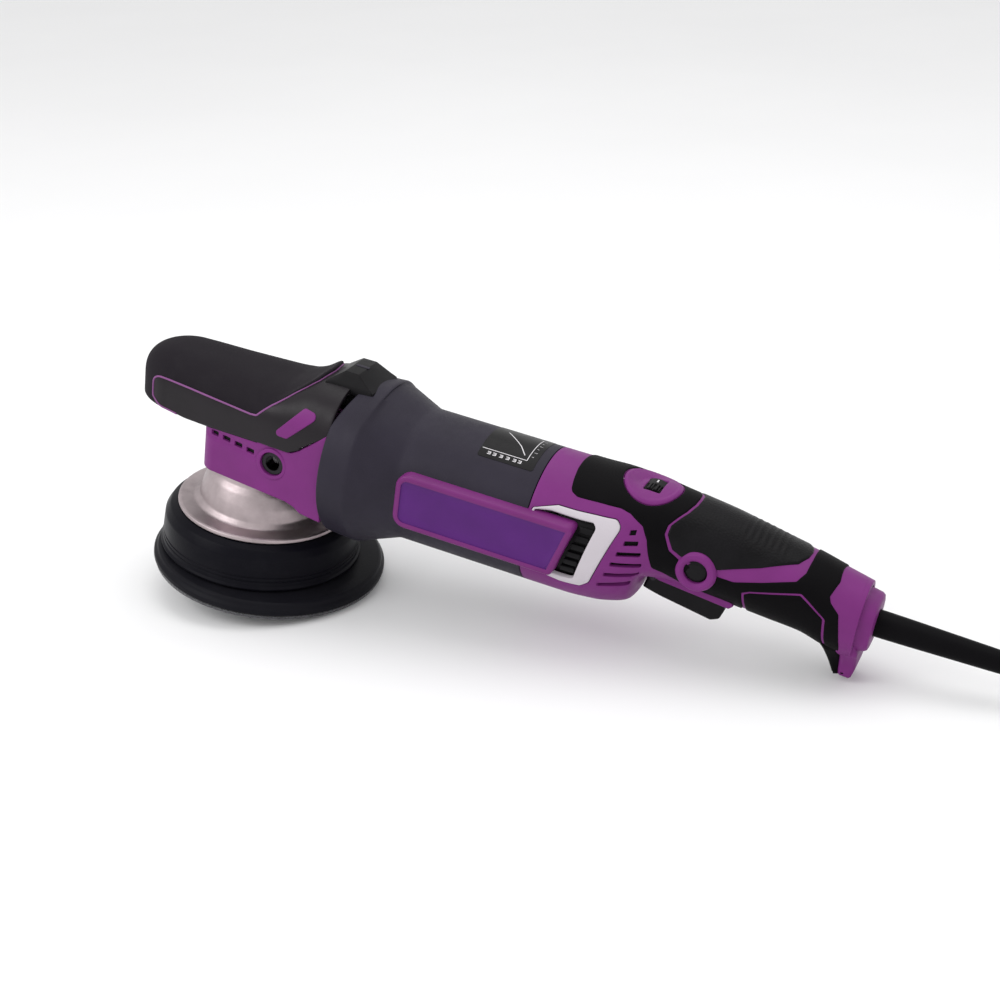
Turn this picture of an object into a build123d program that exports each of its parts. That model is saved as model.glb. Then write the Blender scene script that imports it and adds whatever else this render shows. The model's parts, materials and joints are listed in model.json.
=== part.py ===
from build123d import *
import os
from math import atan2, cos, degrees, hypot, pi, radians, sin, tan

# Dual action polisher, in millimetres.
# Every piece is modelled in the tool frame: the origin is the spindle axis at the face of
# the backing plate, +Z runs up the spindle, +X runs back along the motor to the cord.
# The finished tool is then laid down as it rests: on the rear edge of the plate and on
# the stop under the handle, with the cord on the floor.

# ---- driving dimensions -------------------------------------------------------------
PLATE_R = 62.5            # 125 mm backing plate
ORBIT = 6.0               # eccentricity, half of the 12 mm orbit
MOTOR_Z = 80.0            # height of the motor axis above the plate face
BELL_R = 43.5             # front end of the motor housing
BARREL_R = 34.5           # motor barrel
BELL_X = 50.0             # face where head and motor housing meet
BARREL_END = 159.0        # seam between motor housing and handle shells
HANDLE_END = 323.0        # rear face of the handle shells
CORD_Z = 77.5             # cord axis
STOP_Z = 45.0             # bottom of the stop under the handle
STOP_X = 325.0            # rear edge of the stop
WALL = 3.0                # plastic wall
SKIN = 1.5                # depth of the moulded-on rubber
RUN = 0.05                # running clearance on a radius
GAP = 0.3                 # clearance between moving bodies
SLIT = 0.2                # parting line between fixed covers

# ---- head ---------------------------------------------------------------------------
HEAD_HALF = 29.0          # half width of the head at the spindle axis
HEAD_TAPER = 0.115        # half width gained for each millimetre towards the motor
NOSE_X = -45.3            # centre of the rounded nose
COVER_FRONT = -27.0
COVER_T = 2.5
COVER_Z = (53.5, 60.0, 90.0)   # low rear edge, bottom edge, top
# lower edge of the deck, x and z from the nose to the motor housing
DECK_EDGE = [(-72, 86), (-54, 84.5), (-33, 82.8), (-21, 83.2), (8, 85), (30, 85.5), (34, 88.4),
             (BELL_X, 102)]
GRIP_T = 3.0              # rubber on the nose
GRIP_TOP = 109.5
LIP = (44.0, 120.0)       # rear lip of the rubber grip, x and z
SOCKET_X, SOCKET_Z = 19.3, 76.0
SOCKET_R = 4.0            # M8 side handle thread
SOCKET_DEPTH = 14.0
BLOCK_HALF, BLOCK_TOP = 13.0, 127.0
FLANGE_R = BELL_R - WALL - 1.5
NECK_R, NECK_LENGTH = 26.0, 8.0   # round neck between gear box and flange
FLANGE_SCREWS = (28, 152, 226, 314)      # degrees round the motor axis
FLANGE_SCREW_PITCH_R, FLANGE_SCREW_R = 31.0, 2.0

# ---- gear case, spindle and bearings --------------------------------------------------
SKIRT_R, SKIRT_Z, SKIRT_T = 47.5, 33.0, 3.0
HUB_R = 40.0
CASE_FLOOR, CASE_TOP = 60.0, 97.0
MODULE = 1.15
PINION_TEETH, GEAR_TEETH = 9, 37
FACE = 6.0                # tooth length
PINION_R = MODULE * PINION_TEETH / 2
GEAR_R = MODULE * GEAR_TEETH / 2
GEAR_ROOM = GEAR_R + 2.2  # radius of the gear chamber
SPINDLE_R = 8.5
LOW_BEARING = (35.0, 45.0, 17.5)    # z from, z to, outer radius
TOP_BEARING = (87.5, 94.5, 11.0)
TOP_JOURNAL_R = 4.0
ARBOR_R = 7.5
ORBIT_BEARING = (16.0, 27.0, 17.5)
WEIGHT_Z = (15.4, 33.5)
BOLT_R = 4.0

# ---- plate --------------------------------------------------------------------------
HOOK_T = 1.5
PAD_TOP = 9.0
CORE_Z = (9.0, 12.0)
CORE_R = 33.0
SHROUD_Z = (9.8, SKIRT_Z)
SHROUD_R = 54.5
SHROUD_T = 3.0

# ---- motor --------------------------------------------------------------------------
SHAFT_R = 5.0
FRONT_BEARING = (36.0, 44.0, 13.0)
REAR_BEARING = (168.0, 175.0, 11.0)
REAR_JOURNAL_R = 4.0
FAN_X, FAN_R = (57.0, 67.0), 27.0
CORE_X = (84.0, 132.0)
ARMATURE_R = 18.0
CAGE_FRONT = 141.0
AIR_GAP = 0.5
STATOR_R = BARREL_R - WALL
COMM_X, COMM_R = (143.0, 159.0), 11.0
BRUSH_X = 151.0
CAGE_R = 30.5
PANEL_Y = 37.0            # outer face of the side panels

# ---- handle -------------------------------------------------------------------------
# x, half width, bottom z, top z of the outer skin
HANDLE = [(BARREL_END, BARREL_R, MOTOR_Z - BARREL_R, MOTOR_Z + BARREL_R),
          (180, 34.5, 45.6, 114.6), (195, 34.0, 47.3, 115.2), (206, 32.0, 51.0, 115.0),
          (214, 29.0, 57.5, 114.6), (222, 25.5, 66.5, 113.7), (235, 23.0, 68.5, 112.5),
          (250, 22.0, 67.6, 110.8), (265, 21.5, 66.4, 108.2), (280, 21.5, 65.5, 105.2),
          (295, 21.3, 64.0, 102.4), (309, 20.4, 59.0, 99.4), (HANDLE_END, 19.0, 57.0, 96.5)]
DIAL_X, DIAL_Z, DIAL_R, DIAL_HALF = 211.5, 105.0, 9.0, 6.0
BUTTON_X, BUTTON_Z, BUTTON_R = 244.0, 86.5, 5.6
BUTTON_RING_R = 10.3
BUTTON_FLANGE = (15.5, 17.1, 7.0)        # distance from the middle plane from and to, radius
BUTTON_TRAVEL = 2.5
TRIGGER_PIN = (222.0, 71.0)
TRIGGER_PIN_R = 1.5
TRIGGER_HALF = 9.0
TRIGGER_TRAVEL = 4.0      # degrees
SWITCH = (227.0, 262.0, 77.0, 97.0)      # x from, x to, z from, z to
SWITCH_HALF = 8.0
BUTTON_FACE = 23.2        # distance of the button's face from the middle plane
BOARD_Z = 89.0
DIAL_BORE_R = 2.0
SCREW_POSTS = [(206.0, 72.0), (272.0, 89.0), (297.0, 94.0)]
SCREW_R, SCREW_DEPTH = 1.6, 10.0
SCREW_HEAD_R = 3.0
POST_R = 4.4              # posts that the handle screws hold together
CLAMP_X = 303.0
GUARD_COLLAR = (313.0, 317.0, 9.0)       # x from, x to, radius

# ---- cord ---------------------------------------------------------------------------
CORD_R = 4.0
GUARD = (331.0, 391.0, 6.5, 5.4)    # x from, x to, radius at the housing, radius at its end
# corners of the lead on the floor, in the frame of the finished part
CORD_ROUTE = [(300, -2, 8.5), (326, -8, 4.6), (352, -22, 4.2), (380, -42, 4.6), (410, -56, 5.6)]
COIL = ((420.0, 0.0), 28.0, 60.0, 1.6, 33.6)   # centre, inner and outer radius, bottom, top
TIE_T = 1.5
PLUG_AXIS = (12.0, 56.0)
PLUG_X = (404.0, 396.0, 376.0, 344.0)          # cord, relief, shoulder, face

MOTOR_AXIS = Axis((0, 0, MOTOR_Z), (1, 0, 0))
PLATE_AXIS = Axis((ORBIT, 0, 0), (0, 0, 1))
PAIR = (-1, 1)

pieces = {}
cord_pieces = {}


def keep(label, piece, store=pieces):
    """Label a finished piece and put it with the others."""
    piece.part.label = label
    store[label] = piece.part


def turned_x(x0, x1, outer, inner=0.0, z=MOTOR_Z):
    """A plain turned piece along X, on the motor axis unless z says otherwise."""
    with BuildPart() as piece:
        with BuildSketch(Plane.YZ.offset(x0)):
            with Locations((0, z)):
                Circle(outer)
                if inner:
                    Circle(inner, mode=Mode.SUBTRACT)
        extrude(amount=x1 - x0)
    return piece


def turned_z(z0, z1, outer, inner=0.0, x=0.0):
    """A plain turned piece along Z, on the spindle axis unless x says otherwise."""
    with BuildPart() as piece:
        with BuildSketch(Plane.XY.offset(z0)):
            with Locations((x, 0)):
                Circle(outer)
                if inner:
                    Circle(inner, mode=Mode.SUBTRACT)
        extrude(amount=z1 - z0)
    return piece


def bearing_profile(low, high, outer, bore):
    """Draw the section of a sealed ball bearing, as (radius, height) points."""
    lip, shield = 2.2, 0.5
    Polygon((bore, low), (bore + lip, low), (bore + lip, low + shield), (outer - lip, low + shield),
            (outer - lip, low), (outer, low), (outer, high), (outer - lip, high),
            (outer - lip, high - shield), (bore + lip, high - shield), (bore + lip, high),
            (bore, high), align=None)


def bearing_z(span, bore, x=0.0):
    with BuildPart() as piece:
        with BuildSketch(Plane.XZ.shift_origin((x, 0, 0))):
            bearing_profile(span[0], span[1], span[2], bore)
        revolve(axis=Axis((x, 0, 0), (0, 0, 1)))
    return piece


def bearing_x(span, bore):
    with BuildPart() as piece:
        with BuildSketch(Plane(origin=(0, 0, MOTOR_Z), x_dir=(0, 0, 1), z_dir=(0, 1, 0))):
            bearing_profile(span[0], span[1], span[2], bore)
        revolve(axis=MOTOR_AXIS)
    return piece


def head_half(x):
    """Half width of the head at x."""
    return HEAD_HALF + HEAD_TAPER * x


def head_plan(front, rear, inset=0.0, corner=9.0):
    """Draw the tapered plan of the head, with its front corners rounded."""
    near, far = head_half(front) - inset, head_half(rear) - inset
    Polygon((front, -near), (rear, -far), (rear, far), (front, near), align=None)
    fillet(vertices().group_by(Axis.X)[0], corner)


def nose_plan(rear, inset=0.0):
    """Draw the plan of the whole head, with its round nose."""
    near, far = head_half(NOSE_X) - inset, head_half(rear) - inset
    Polygon((NOSE_X, -near), (rear, -far), (rear, far), (NOSE_X, near), align=None)
    with Locations((NOSE_X, 0)):
        Circle(near)


# ---- plate and orbit ----------------------------------------------------------------
def build_plate():
    """The backing plate with its hook face, on the eccentric arbor."""
    keep("hook_face", turned_z(0, HOOK_T, PLATE_R - 1.0, 13.0, ORBIT))

    with BuildPart() as pad:
        with BuildSketch(Plane.XZ.shift_origin((ORBIT, 0, 0))):
            with BuildLine():
                Polyline((13, HOOK_T), (PLATE_R - 0.5, HOOK_T), (PLATE_R, 2.2), (PLATE_R, 4.0))
                ThreePointArc((PLATE_R, 4.0), (PLATE_R - 0.6, 5.4), (PLATE_R - 2, 6.0))
                Polyline((PLATE_R - 2, 6.0), (PLATE_R - 9.5, PAD_TOP - 0.4), (46, PAD_TOP),
                         (13, PAD_TOP), (13, HOOK_T))
            make_face()
        revolve(axis=PLATE_AXIS)
    keep("backing_pad", pad)

    with BuildPart() as core:
        with BuildSketch(Plane.XY.offset(CORE_Z[0])):
            with Locations((ORBIT, 0)):
                Circle(CORE_R)
                Circle(BOLT_R + 2 * RUN, mode=Mode.SUBTRACT)
                with PolarLocations(22, 6):
                    Circle(4, mode=Mode.SUBTRACT)
        extrude(amount=CORE_Z[1] - CORE_Z[0])
    keep("plate_core", core)

    flange_top = CORE_Z[1] + 2.5
    with BuildPart() as arbor:
        with BuildSketch(Plane.XZ.shift_origin((ORBIT, 0, 0))):
            Polygon((BOLT_R + RUN, CORE_Z[1]), (11, CORE_Z[1]), (11, flange_top), (9, flange_top),
                    (9, ORBIT_BEARING[0] - RUN), (ARBOR_R, ORBIT_BEARING[0] - RUN),
                    (ARBOR_R, ORBIT_BEARING[1]),
                    (BOLT_R + RUN, ORBIT_BEARING[1]), align=None)
        revolve(axis=PLATE_AXIS)
    keep("plate_arbor", arbor)

    head_h, head_r = 4.5, 8.0
    with BuildPart() as bolt:
        with BuildSketch(Plane.XY.offset(CORE_Z[0] - head_h)):
            with Locations((ORBIT, 0)):
                Circle(head_r)
                RegularPolygon(3.4, 6, mode=Mode.SUBTRACT)
        extrude(amount=head_h - 1.0)
        with BuildSketch(Plane.XY.offset(CORE_Z[0] - 1.0)):
            with Locations((ORBIT, 0)):
                Circle(head_r + 2.5)
        extrude(amount=1.0)
        with BuildSketch(Plane.XY.offset(CORE_Z[0])):
            with Locations((ORBIT, 0)):
                Circle(BOLT_R)
        extrude(amount=ORBIT_BEARING[1] - 3 - CORE_Z[0])
    keep("plate_bolt", bolt)


def build_orbit():
    """Spindle, counterweight and the bearing that carries the plate."""
    keep("eccentric_bearing", bearing_z(ORBIT_BEARING, ARBOR_R + RUN, ORBIT))

    with BuildPart() as weight:
        with BuildSketch(Plane.XY.offset(WEIGHT_Z[0])):
            Circle(45)
            with Locations((45, 0)):
                Rectangle(90 - 2 * 2, 100, mode=Mode.SUBTRACT)
            with Locations((ORBIT, 0)):
                Circle(ORBIT_BEARING[2] + 5)
        extrude(amount=12.0)
        with BuildSketch(Plane.XY.offset(ORBIT_BEARING[1])):
            with Locations((ORBIT, 0)):
                Circle(ORBIT_BEARING[2] + 5)
            Circle(22)
        extrude(amount=3.5)
        with BuildSketch(Plane.XY.offset(ORBIT_BEARING[1] + 3.5)):
            Circle(14)
        extrude(amount=WEIGHT_Z[1] - ORBIT_BEARING[1] - 3.5)
        with BuildSketch(Plane.XY.offset(WEIGHT_Z[0])):
            with Locations((ORBIT, 0)):
                Circle(ORBIT_BEARING[2])
        extrude(amount=ORBIT_BEARING[1] - WEIGHT_Z[0], mode=Mode.SUBTRACT)
        with BuildSketch(Plane.XY.offset(ORBIT_BEARING[1])):
            Circle(6.0)
        extrude(amount=10, mode=Mode.SUBTRACT)
    keep("counterweight", weight)

    keep("spindle_bearing_lower", bearing_z(LOW_BEARING, SPINDLE_R + RUN))
    keep("spindle_bearing_upper", bearing_z(TOP_BEARING, TOP_JOURNAL_R + RUN))

    seat_z = 62.0
    with BuildPart() as spindle:
        with BuildSketch(Plane.XZ):
            Polygon((0, ORBIT_BEARING[1] + 0.5), (6, ORBIT_BEARING[1] + 0.5), (6, WEIGHT_Z[1]),
                    (11, WEIGHT_Z[1]), (11, LOW_BEARING[0] - RUN),
                    (SPINDLE_R, LOW_BEARING[0] - RUN),
                    (SPINDLE_R, seat_z), (7, seat_z), (7, TOP_BEARING[0] - 3),
                    (TOP_JOURNAL_R + 1.2, TOP_BEARING[0] - 3),
                    (TOP_JOURNAL_R + 1.2, TOP_BEARING[0] - RUN),
                    (TOP_JOURNAL_R, TOP_BEARING[0] - RUN), (TOP_JOURNAL_R, TOP_BEARING[1] + 0.5),
                    (0, TOP_BEARING[1] + 0.5), align=None)
        revolve(axis=Axis.Z)
    keep("spindle", spindle)

    with BuildPart() as retainer:
        with BuildSketch(Plane.XY.offset(LOW_BEARING[1])):
            Circle(23)
            Circle(12.5, mode=Mode.SUBTRACT)
            with PolarLocations(20, 3):
                Circle(1.6, mode=Mode.SUBTRACT)
        extrude(amount=2.0)
    keep("bearing_retainer", retainer)


def build_gears():
    """Straight bevel gear on the spindle and pinion on the armature, apex on both axes."""
    apex = MOTOR_Z
    slant = hypot(GEAR_R, PINION_R)
    inner = 1 - FACE / slant
    gear_cone = degrees(atan2(GEAR_R, PINION_R))
    add_h, ded_h = 0.75 * MODULE, 1.1 * MODULE
    width = 0.40 * pi * MODULE
    back_z = apex - PINION_R - 7.0

    def blank(near, far, drop):
        """Section of a bevel blank, as (radius, distance from the apex) points."""
        lean = hypot(near, far)
        dr, dx = drop * far / lean, drop * near / lean
        return near - dr, far + dx

    # gear: rises towards the rim, teeth face up
    outer_r, outer_d = blank(GEAR_R, PINION_R, ded_h)
    with BuildPart() as gear:
        with BuildSketch(Plane.XZ):
            Polygon((7 + RUN, back_z - 3), (13, back_z - 3), (13, back_z), (GEAR_R - 1, back_z),
                    (GEAR_R + 0.6, apex - outer_d - 1.2), (outer_r, apex - outer_d),
                    (outer_r * inner, apex - outer_d * inner), (outer_r * inner - 2.5, apex - 5.6),
                    (7 + RUN, apex - 5.6), align=None)
        revolve(axis=Axis.Z)
        for index in range(GEAR_TEETH):
            turn = 360 * (index + 0.5) / GEAR_TEETH
            for_tooth(turn, gear_cone, slant, inner, add_h, ded_h, width, Plane.XY, apex)
    keep("bevel_gear", gear)

    p_r, p_d = blank(PINION_R, GEAR_R, ded_h)
    with BuildPart() as pinion:
        with BuildSketch(Plane.XZ):
            Polygon((0, apex), (p_d * inner, apex), (p_d * inner, apex + p_r * inner),
                    (p_d, apex + p_r), (p_d + 1.5, apex + p_r), (p_d + 1.5, apex + 5.5),
                    (FRONT_BEARING[0] - 2, apex + 5.5), (FRONT_BEARING[0] - 2, apex), align=None)
            with Locations((p_d * inner / 2 - 0.5, apex)):
                Rectangle(p_d * inner + 1, 20, mode=Mode.SUBTRACT)
        revolve(axis=MOTOR_AXIS)
        for index in range(PINION_TEETH):
            turn = 360 * index / PINION_TEETH
            for_tooth(turn, 90 - gear_cone, slant, inner, add_h, ded_h, width, Plane.YZ, apex)
    keep("bevel_pinion", pinion)


def for_tooth(turn, cone, slant, inner, add_h, ded_h, width, base, apex):
    """Loft one tooth along the pitch cone, from its outer to its inner end."""
    # the tooth line leaves the apex at the cone angle from the gear's own axis
    axis = Vector(0, 0, -1) if base == Plane.XY else Vector(1, 0, 0)
    side = Vector(1, 0, 0) if base == Plane.XY else Vector(0, 0, -1)
    side = side.rotate(Axis((0, 0, 0), axis), turn)
    line = axis * cos(radians(cone)) + side * sin(radians(cone))
    up = side * cos(radians(cone)) - axis * sin(radians(cone))
    sections = []
    for share in (1.0, inner):
        plane = Plane(origin=Vector(0, 0, apex) + line * (slant * share), x_dir=up, z_dir=line)
        with BuildSketch(plane, mode=Mode.PRIVATE) as section:
            Polygon((-ded_h * 1.25 * share, -width * share * 0.62),
                    (add_h * share, -width * share * 0.30), (add_h * share, width * share * 0.30),
                    (-ded_h * 1.25 * share, width * share * 0.62), align=None)
        sections.append(section.sketch)
    loft(sections)


# ---- head ---------------------------------------------------------------------------
def build_gear_case():
    """Cast aluminium gear case: skirt, domed hub, gear box and motor flange."""
    flange_front = BELL_X + 1.0
    with BuildPart() as case:
        with BuildSketch(Plane.XZ):
            with BuildLine():
                Polyline((20, SKIRT_Z + 1), (SKIRT_R - 2.5, SKIRT_Z + 1), (SKIRT_R - 2.5, SKIRT_Z),
                         (SKIRT_R, SKIRT_Z), (SKIRT_R, SKIRT_Z + SKIRT_T),
                         (HUB_R + 1.5, SKIRT_Z + SKIRT_T + 0.6))
                ThreePointArc((HUB_R + 1.5, SKIRT_Z + SKIRT_T + 0.6), (HUB_R - 3, 45),
                              (HUB_R - 11, CASE_FLOOR - 4))
                Polyline((HUB_R - 11, CASE_FLOOR - 4), (GEAR_ROOM + 0.7, CASE_FLOOR),
                         (GEAR_ROOM + 0.7, CASE_FLOOR + 4), (20, CASE_FLOOR + 4),
                         (20, SKIRT_Z + 1))
            make_face()
        revolve(axis=Axis.Z)
        with BuildSketch(Plane.XY.offset(SKIRT_Z + 1)):
            Circle(21)
        extrude(amount=CASE_FLOOR + 3 - SKIRT_Z)
        with BuildSketch(Plane.XY.offset(CASE_FLOOR - 3)):
            head_plan(COVER_FRONT + COVER_T + SLIT, BELL_X - 2, COVER_T + SLIT, 9.0)
        extrude(amount=CASE_TOP - CASE_FLOOR + 3)
        with BuildSketch(Plane.YZ.offset(BELL_X - NECK_LENGTH)):
            with Locations((0, MOTOR_Z)):
                Circle(NECK_R)
        extrude(amount=NECK_LENGTH + 4)
        with BuildSketch(Plane.YZ.offset(flange_front)):
            with Locations((0, MOTOR_Z)):
                Circle(FLANGE_R)
        extrude(amount=3.0)
        # gear chamber, bearing seats and shaft passages
        with BuildSketch(Plane.XY.offset(LOW_BEARING[1])):
            Circle(GEAR_ROOM)
        extrude(amount=TOP_BEARING[0] + 0.5 - LOW_BEARING[1], mode=Mode.SUBTRACT)
        with BuildSketch(Plane.XY.offset(SKIRT_Z)):
            Circle(LOW_BEARING[2])
        extrude(amount=LOW_BEARING[1] - SKIRT_Z, mode=Mode.SUBTRACT)
        with BuildSketch(Plane.XY.offset(TOP_BEARING[0])):
            Circle(TOP_BEARING[2])
        extrude(amount=TOP_BEARING[1] - TOP_BEARING[0], mode=Mode.SUBTRACT)
        with BuildSketch(Plane.XY.offset(TOP_BEARING[1])):
            Circle(TOP_BEARING[2] - 3)
        extrude(amount=1.0, mode=Mode.SUBTRACT)
        with BuildSketch(Plane.YZ.offset(10)):
            with Locations((0, MOTOR_Z)):
                Circle(8.0)
        extrude(amount=40, mode=Mode.SUBTRACT)
        with BuildSketch(Plane.YZ.offset(FRONT_BEARING[0])):
            with Locations((0, MOTOR_Z)):
                Circle(FRONT_BEARING[2])
        extrude(amount=30, mode=Mode.SUBTRACT)
        # side handle sockets
        for side in PAIR:
            with BuildSketch(Plane.XZ.offset(side * head_half(SOCKET_X))):
                with Locations((SOCKET_X, SOCKET_Z)):
                    Circle(6.0)
            extrude(amount=-side * 8.5, mode=Mode.SUBTRACT)
        # holes for the flange screws
        with BuildSketch(Plane.YZ.offset(BELL_X - 2)):
            flange_circles(FLANGE_SCREW_R + 0.1)
        extrude(amount=7, mode=Mode.SUBTRACT)
        with BuildSketch(Plane.YZ.offset(BELL_X - 2)):
            flange_circles(3.6)
        extrude(amount=3, mode=Mode.SUBTRACT)
    keep("gear_case", case)

    with BuildPart() as screws:
        with BuildSketch(Plane.YZ.offset(flange_front)):
            flange_circles(FLANGE_SCREW_R)
        extrude(amount=9.0)
        with BuildSketch(Plane.YZ.offset(flange_front - 2.2)):
            flange_circles(3.4)
        extrude(amount=2.2)
    keep("gear_case_screws", screws)

    with BuildPart() as inserts:
        for side in PAIR:
            outer_y = head_half(SOCKET_X) - COVER_T
            with BuildSketch(Plane.XZ.offset(-side * (outer_y + 2.0))):
                with Locations((SOCKET_X, SOCKET_Z)):
                    Circle(5.9)
                    Circle(SOCKET_R, mode=Mode.SUBTRACT)
            extrude(amount=side * 7.5)
    keep("side_handle_inserts", inserts)


def flange_circles(radius):
    """Draw one circle at each flange screw."""
    for angle in FLANGE_SCREWS:
        with Locations((0, MOTOR_Z)):
            with PolarLocations(FLANGE_SCREW_PITCH_R, 1, start_angle=angle):
                Circle(radius)


def build_head_shells():
    """Plastic cover round the gear box, the deck above it and the rubber grip on top."""
    low, mid, top = COVER_Z
    with BuildPart() as cover:
        with BuildSketch(Plane.XY.offset(low)):
            head_plan(COVER_FRONT, BELL_X, 0.0, 11.0)
        extrude(amount=top - low)
        with BuildSketch(Plane.XY.offset(low - 1)):
            head_plan(COVER_FRONT + COVER_T, BELL_X + 5, COVER_T, 9.0)
        extrude(amount=top - low + 2, mode=Mode.SUBTRACT)
        with BuildSketch(Plane.XZ):
            Polygon((-40, low - 1), (38, low - 1), (31, mid), (-10, mid + 1.5), (-40, mid + 2.5),
                    align=None)
            make_vents()
            with Locations((SOCKET_X, SOCKET_Z)):
                Circle(6.6)
        extrude(amount=50, both=True, mode=Mode.SUBTRACT)
        with BuildSketch(Plane.XZ.offset(50)):
            Polygon(*[(x, z - SLIT) for x, z in DECK_EDGE], (BELL_X, 140), (-72, 140), align=None)
        extrude(amount=-100, mode=Mode.SUBTRACT)
    keep("head_cover", cover)

    with BuildPart() as whole:
        with BuildSketch(Plane.XZ):
            with BuildLine():
                Polyline((-72, 92), *DECK_EDGE, (BELL_X, 114), (LIP[0] + 2, LIP[1] - 2))
                ThreePointArc((LIP[0] + 2, LIP[1] - 2), (LIP[0] + 0.6, LIP[1] - 0.3),
                              (LIP[0] - 1, LIP[1]))
                Spline((LIP[0] - 1, LIP[1]), (24, 110.5), (0, 109.2), (-34, GRIP_TOP),
                       (-58, 106), (-72, 92))
            make_face()
        extrude(amount=50, both=True)
        with BuildSketch(Plane.XY.offset(70)):
            nose_plan(BELL_X)
        extrude(amount=65, mode=Mode.INTERSECT)
        with BuildSketch(Plane.YZ.offset(-80)):
            with Locations((0, 81.0)):
                Ellipse(BELL_R - 1.5, LIP[1] - 81.0)
        extrude(amount=150, mode=Mode.INTERSECT)

    with BuildPart() as room:
        with BuildSketch(Plane.XY.offset(70)):
            head_plan(COVER_FRONT - 3, BELL_X + 1, COVER_T, 9.0)
        extrude(amount=CASE_TOP + 1.0 - 70)
        with BuildSketch(Plane.XZ):
            block_outline(SLIT)
        extrude(amount=BLOCK_HALF + SLIT, both=True)
        with BuildSketch(Plane.YZ.offset(BELL_X - NECK_LENGTH - SLIT)):
            with Locations((0, MOTOR_Z)):
                Circle(NECK_R + SLIT)
        extrude(amount=NECK_LENGTH + 2)
    inside = room.part

    with BuildPart() as band:
        add(whole.part)
        with BuildSketch(Plane.XZ):
            deck_outline(0.0)
        extrude(amount=50, both=True, mode=Mode.INTERSECT)
        add(inside, mode=Mode.SUBTRACT)
        for side in PAIR:
            with BuildSketch(Plane.XZ.offset(-side * 60)):
                badge_outline()
            extrude(amount=side * (60 - head_half(33) + 1.2), mode=Mode.SUBTRACT)
    keep("head_band", band)

    with BuildPart() as grip:
        add(whole.part)
        with BuildSketch(Plane.XZ):
            deck_outline(SLIT)
        extrude(amount=50, both=True, mode=Mode.SUBTRACT)
        add(inside, mode=Mode.SUBTRACT)
    keep("head_grip", grip)

    with BuildPart() as badges:
        for side in PAIR:
            with BuildSketch(Plane.XZ.offset(-side * (head_half(33) - 1.2))):
                badge_outline(0.15)
            extrude(amount=-side * 1.6)
    keep("head_badges", badges)

    with BuildPart() as block:
        with BuildSketch(Plane.XZ):
            block_outline()
        extrude(amount=BLOCK_HALF, both=True)
        chamfer(block.faces().sort_by(Axis.Z)[-1].edges().filter_by(Axis.X), 2.0)
        with BuildSketch(Plane.YZ.offset(BELL_X - 10)):
            with Locations((0, MOTOR_Z)):
                Circle(BELL_R - WALL + SLIT)
        extrude(amount=40, mode=Mode.SUBTRACT)
    keep("bridge_block", block)


def block_outline(grow=0.0):
    """Draw the side outline of the block that bridges the head and the motor housing."""
    Polygon((BELL_X - 4 - grow, 112.5), (BELL_X + 0.5, 112.5), (66, 123.4), (62, BLOCK_TOP - 1),
            (58, BLOCK_TOP), (52, BLOCK_TOP), (LIP[0] + 3.2 - grow, LIP[1] + grow),
            (BELL_X - 4 - grow, 114.5), align=None)


def make_vents():
    """Draw the four small vents of the head cover."""
    for index in range(4):
        with Locations((-15.5 + 7.6 * index, 79.6 - 0.6 * index)):
            Rectangle(4.6, 2.4)


def deck_outline(grow):
    """Draw the side outline of the hard deck: its top edge is the line under the grip."""
    front = -53.0 - grow
    low = 78.0
    Polygon((front + 3, low), (front, 88), (front, 95 + grow), (front + 4, 99.4 + grow),
            (9, 97.8 + grow), (11.5, 98.6 + grow), (36, 122 + grow), (60, 126), (60, low),
            align=None)


def badge_outline(inset=0.0):
    """Draw the slanted badge on the side of the deck."""
    Polygon((20 + inset, 93.5 + inset), (27.5, 93.5 + inset), (45.5 - inset, 110 - inset),
            (38, 110 - inset), align=None)


def build_shroud():
    """Rubber shroud that hides the counterweight."""
    low, high = SHROUD_Z
    with BuildPart() as shroud:
        with BuildSketch(Plane.XZ):
            Polygon((SHROUD_R - 0.5, low), (SHROUD_R + 1.5, low), (SHROUD_R + 1.5, low + 2.2),
                    (SHROUD_R, low + 3.0), (SHROUD_R - 0.4, low + 7.0), (SHROUD_R - 1.0, low + 7.4),
                    (SHROUD_R - 1.0, low + 8.4), (SHROUD_R - 0.4, low + 8.8),
                    (SHROUD_R - 1.5, high - 3.5), (SHROUD_R - 4.0, high - 0.8),
                    (SKIRT_R + 1.5, high), (SKIRT_R - 4, high), (SKIRT_R - 4, high - 1.5),
                    (SHROUD_R - SHROUD_T - 2.5, high - 3.5), (SHROUD_R - SHROUD_T, low), align=None)
        revolve(axis=Axis.Z)
    keep("rubber_shroud", shroud)


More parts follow.
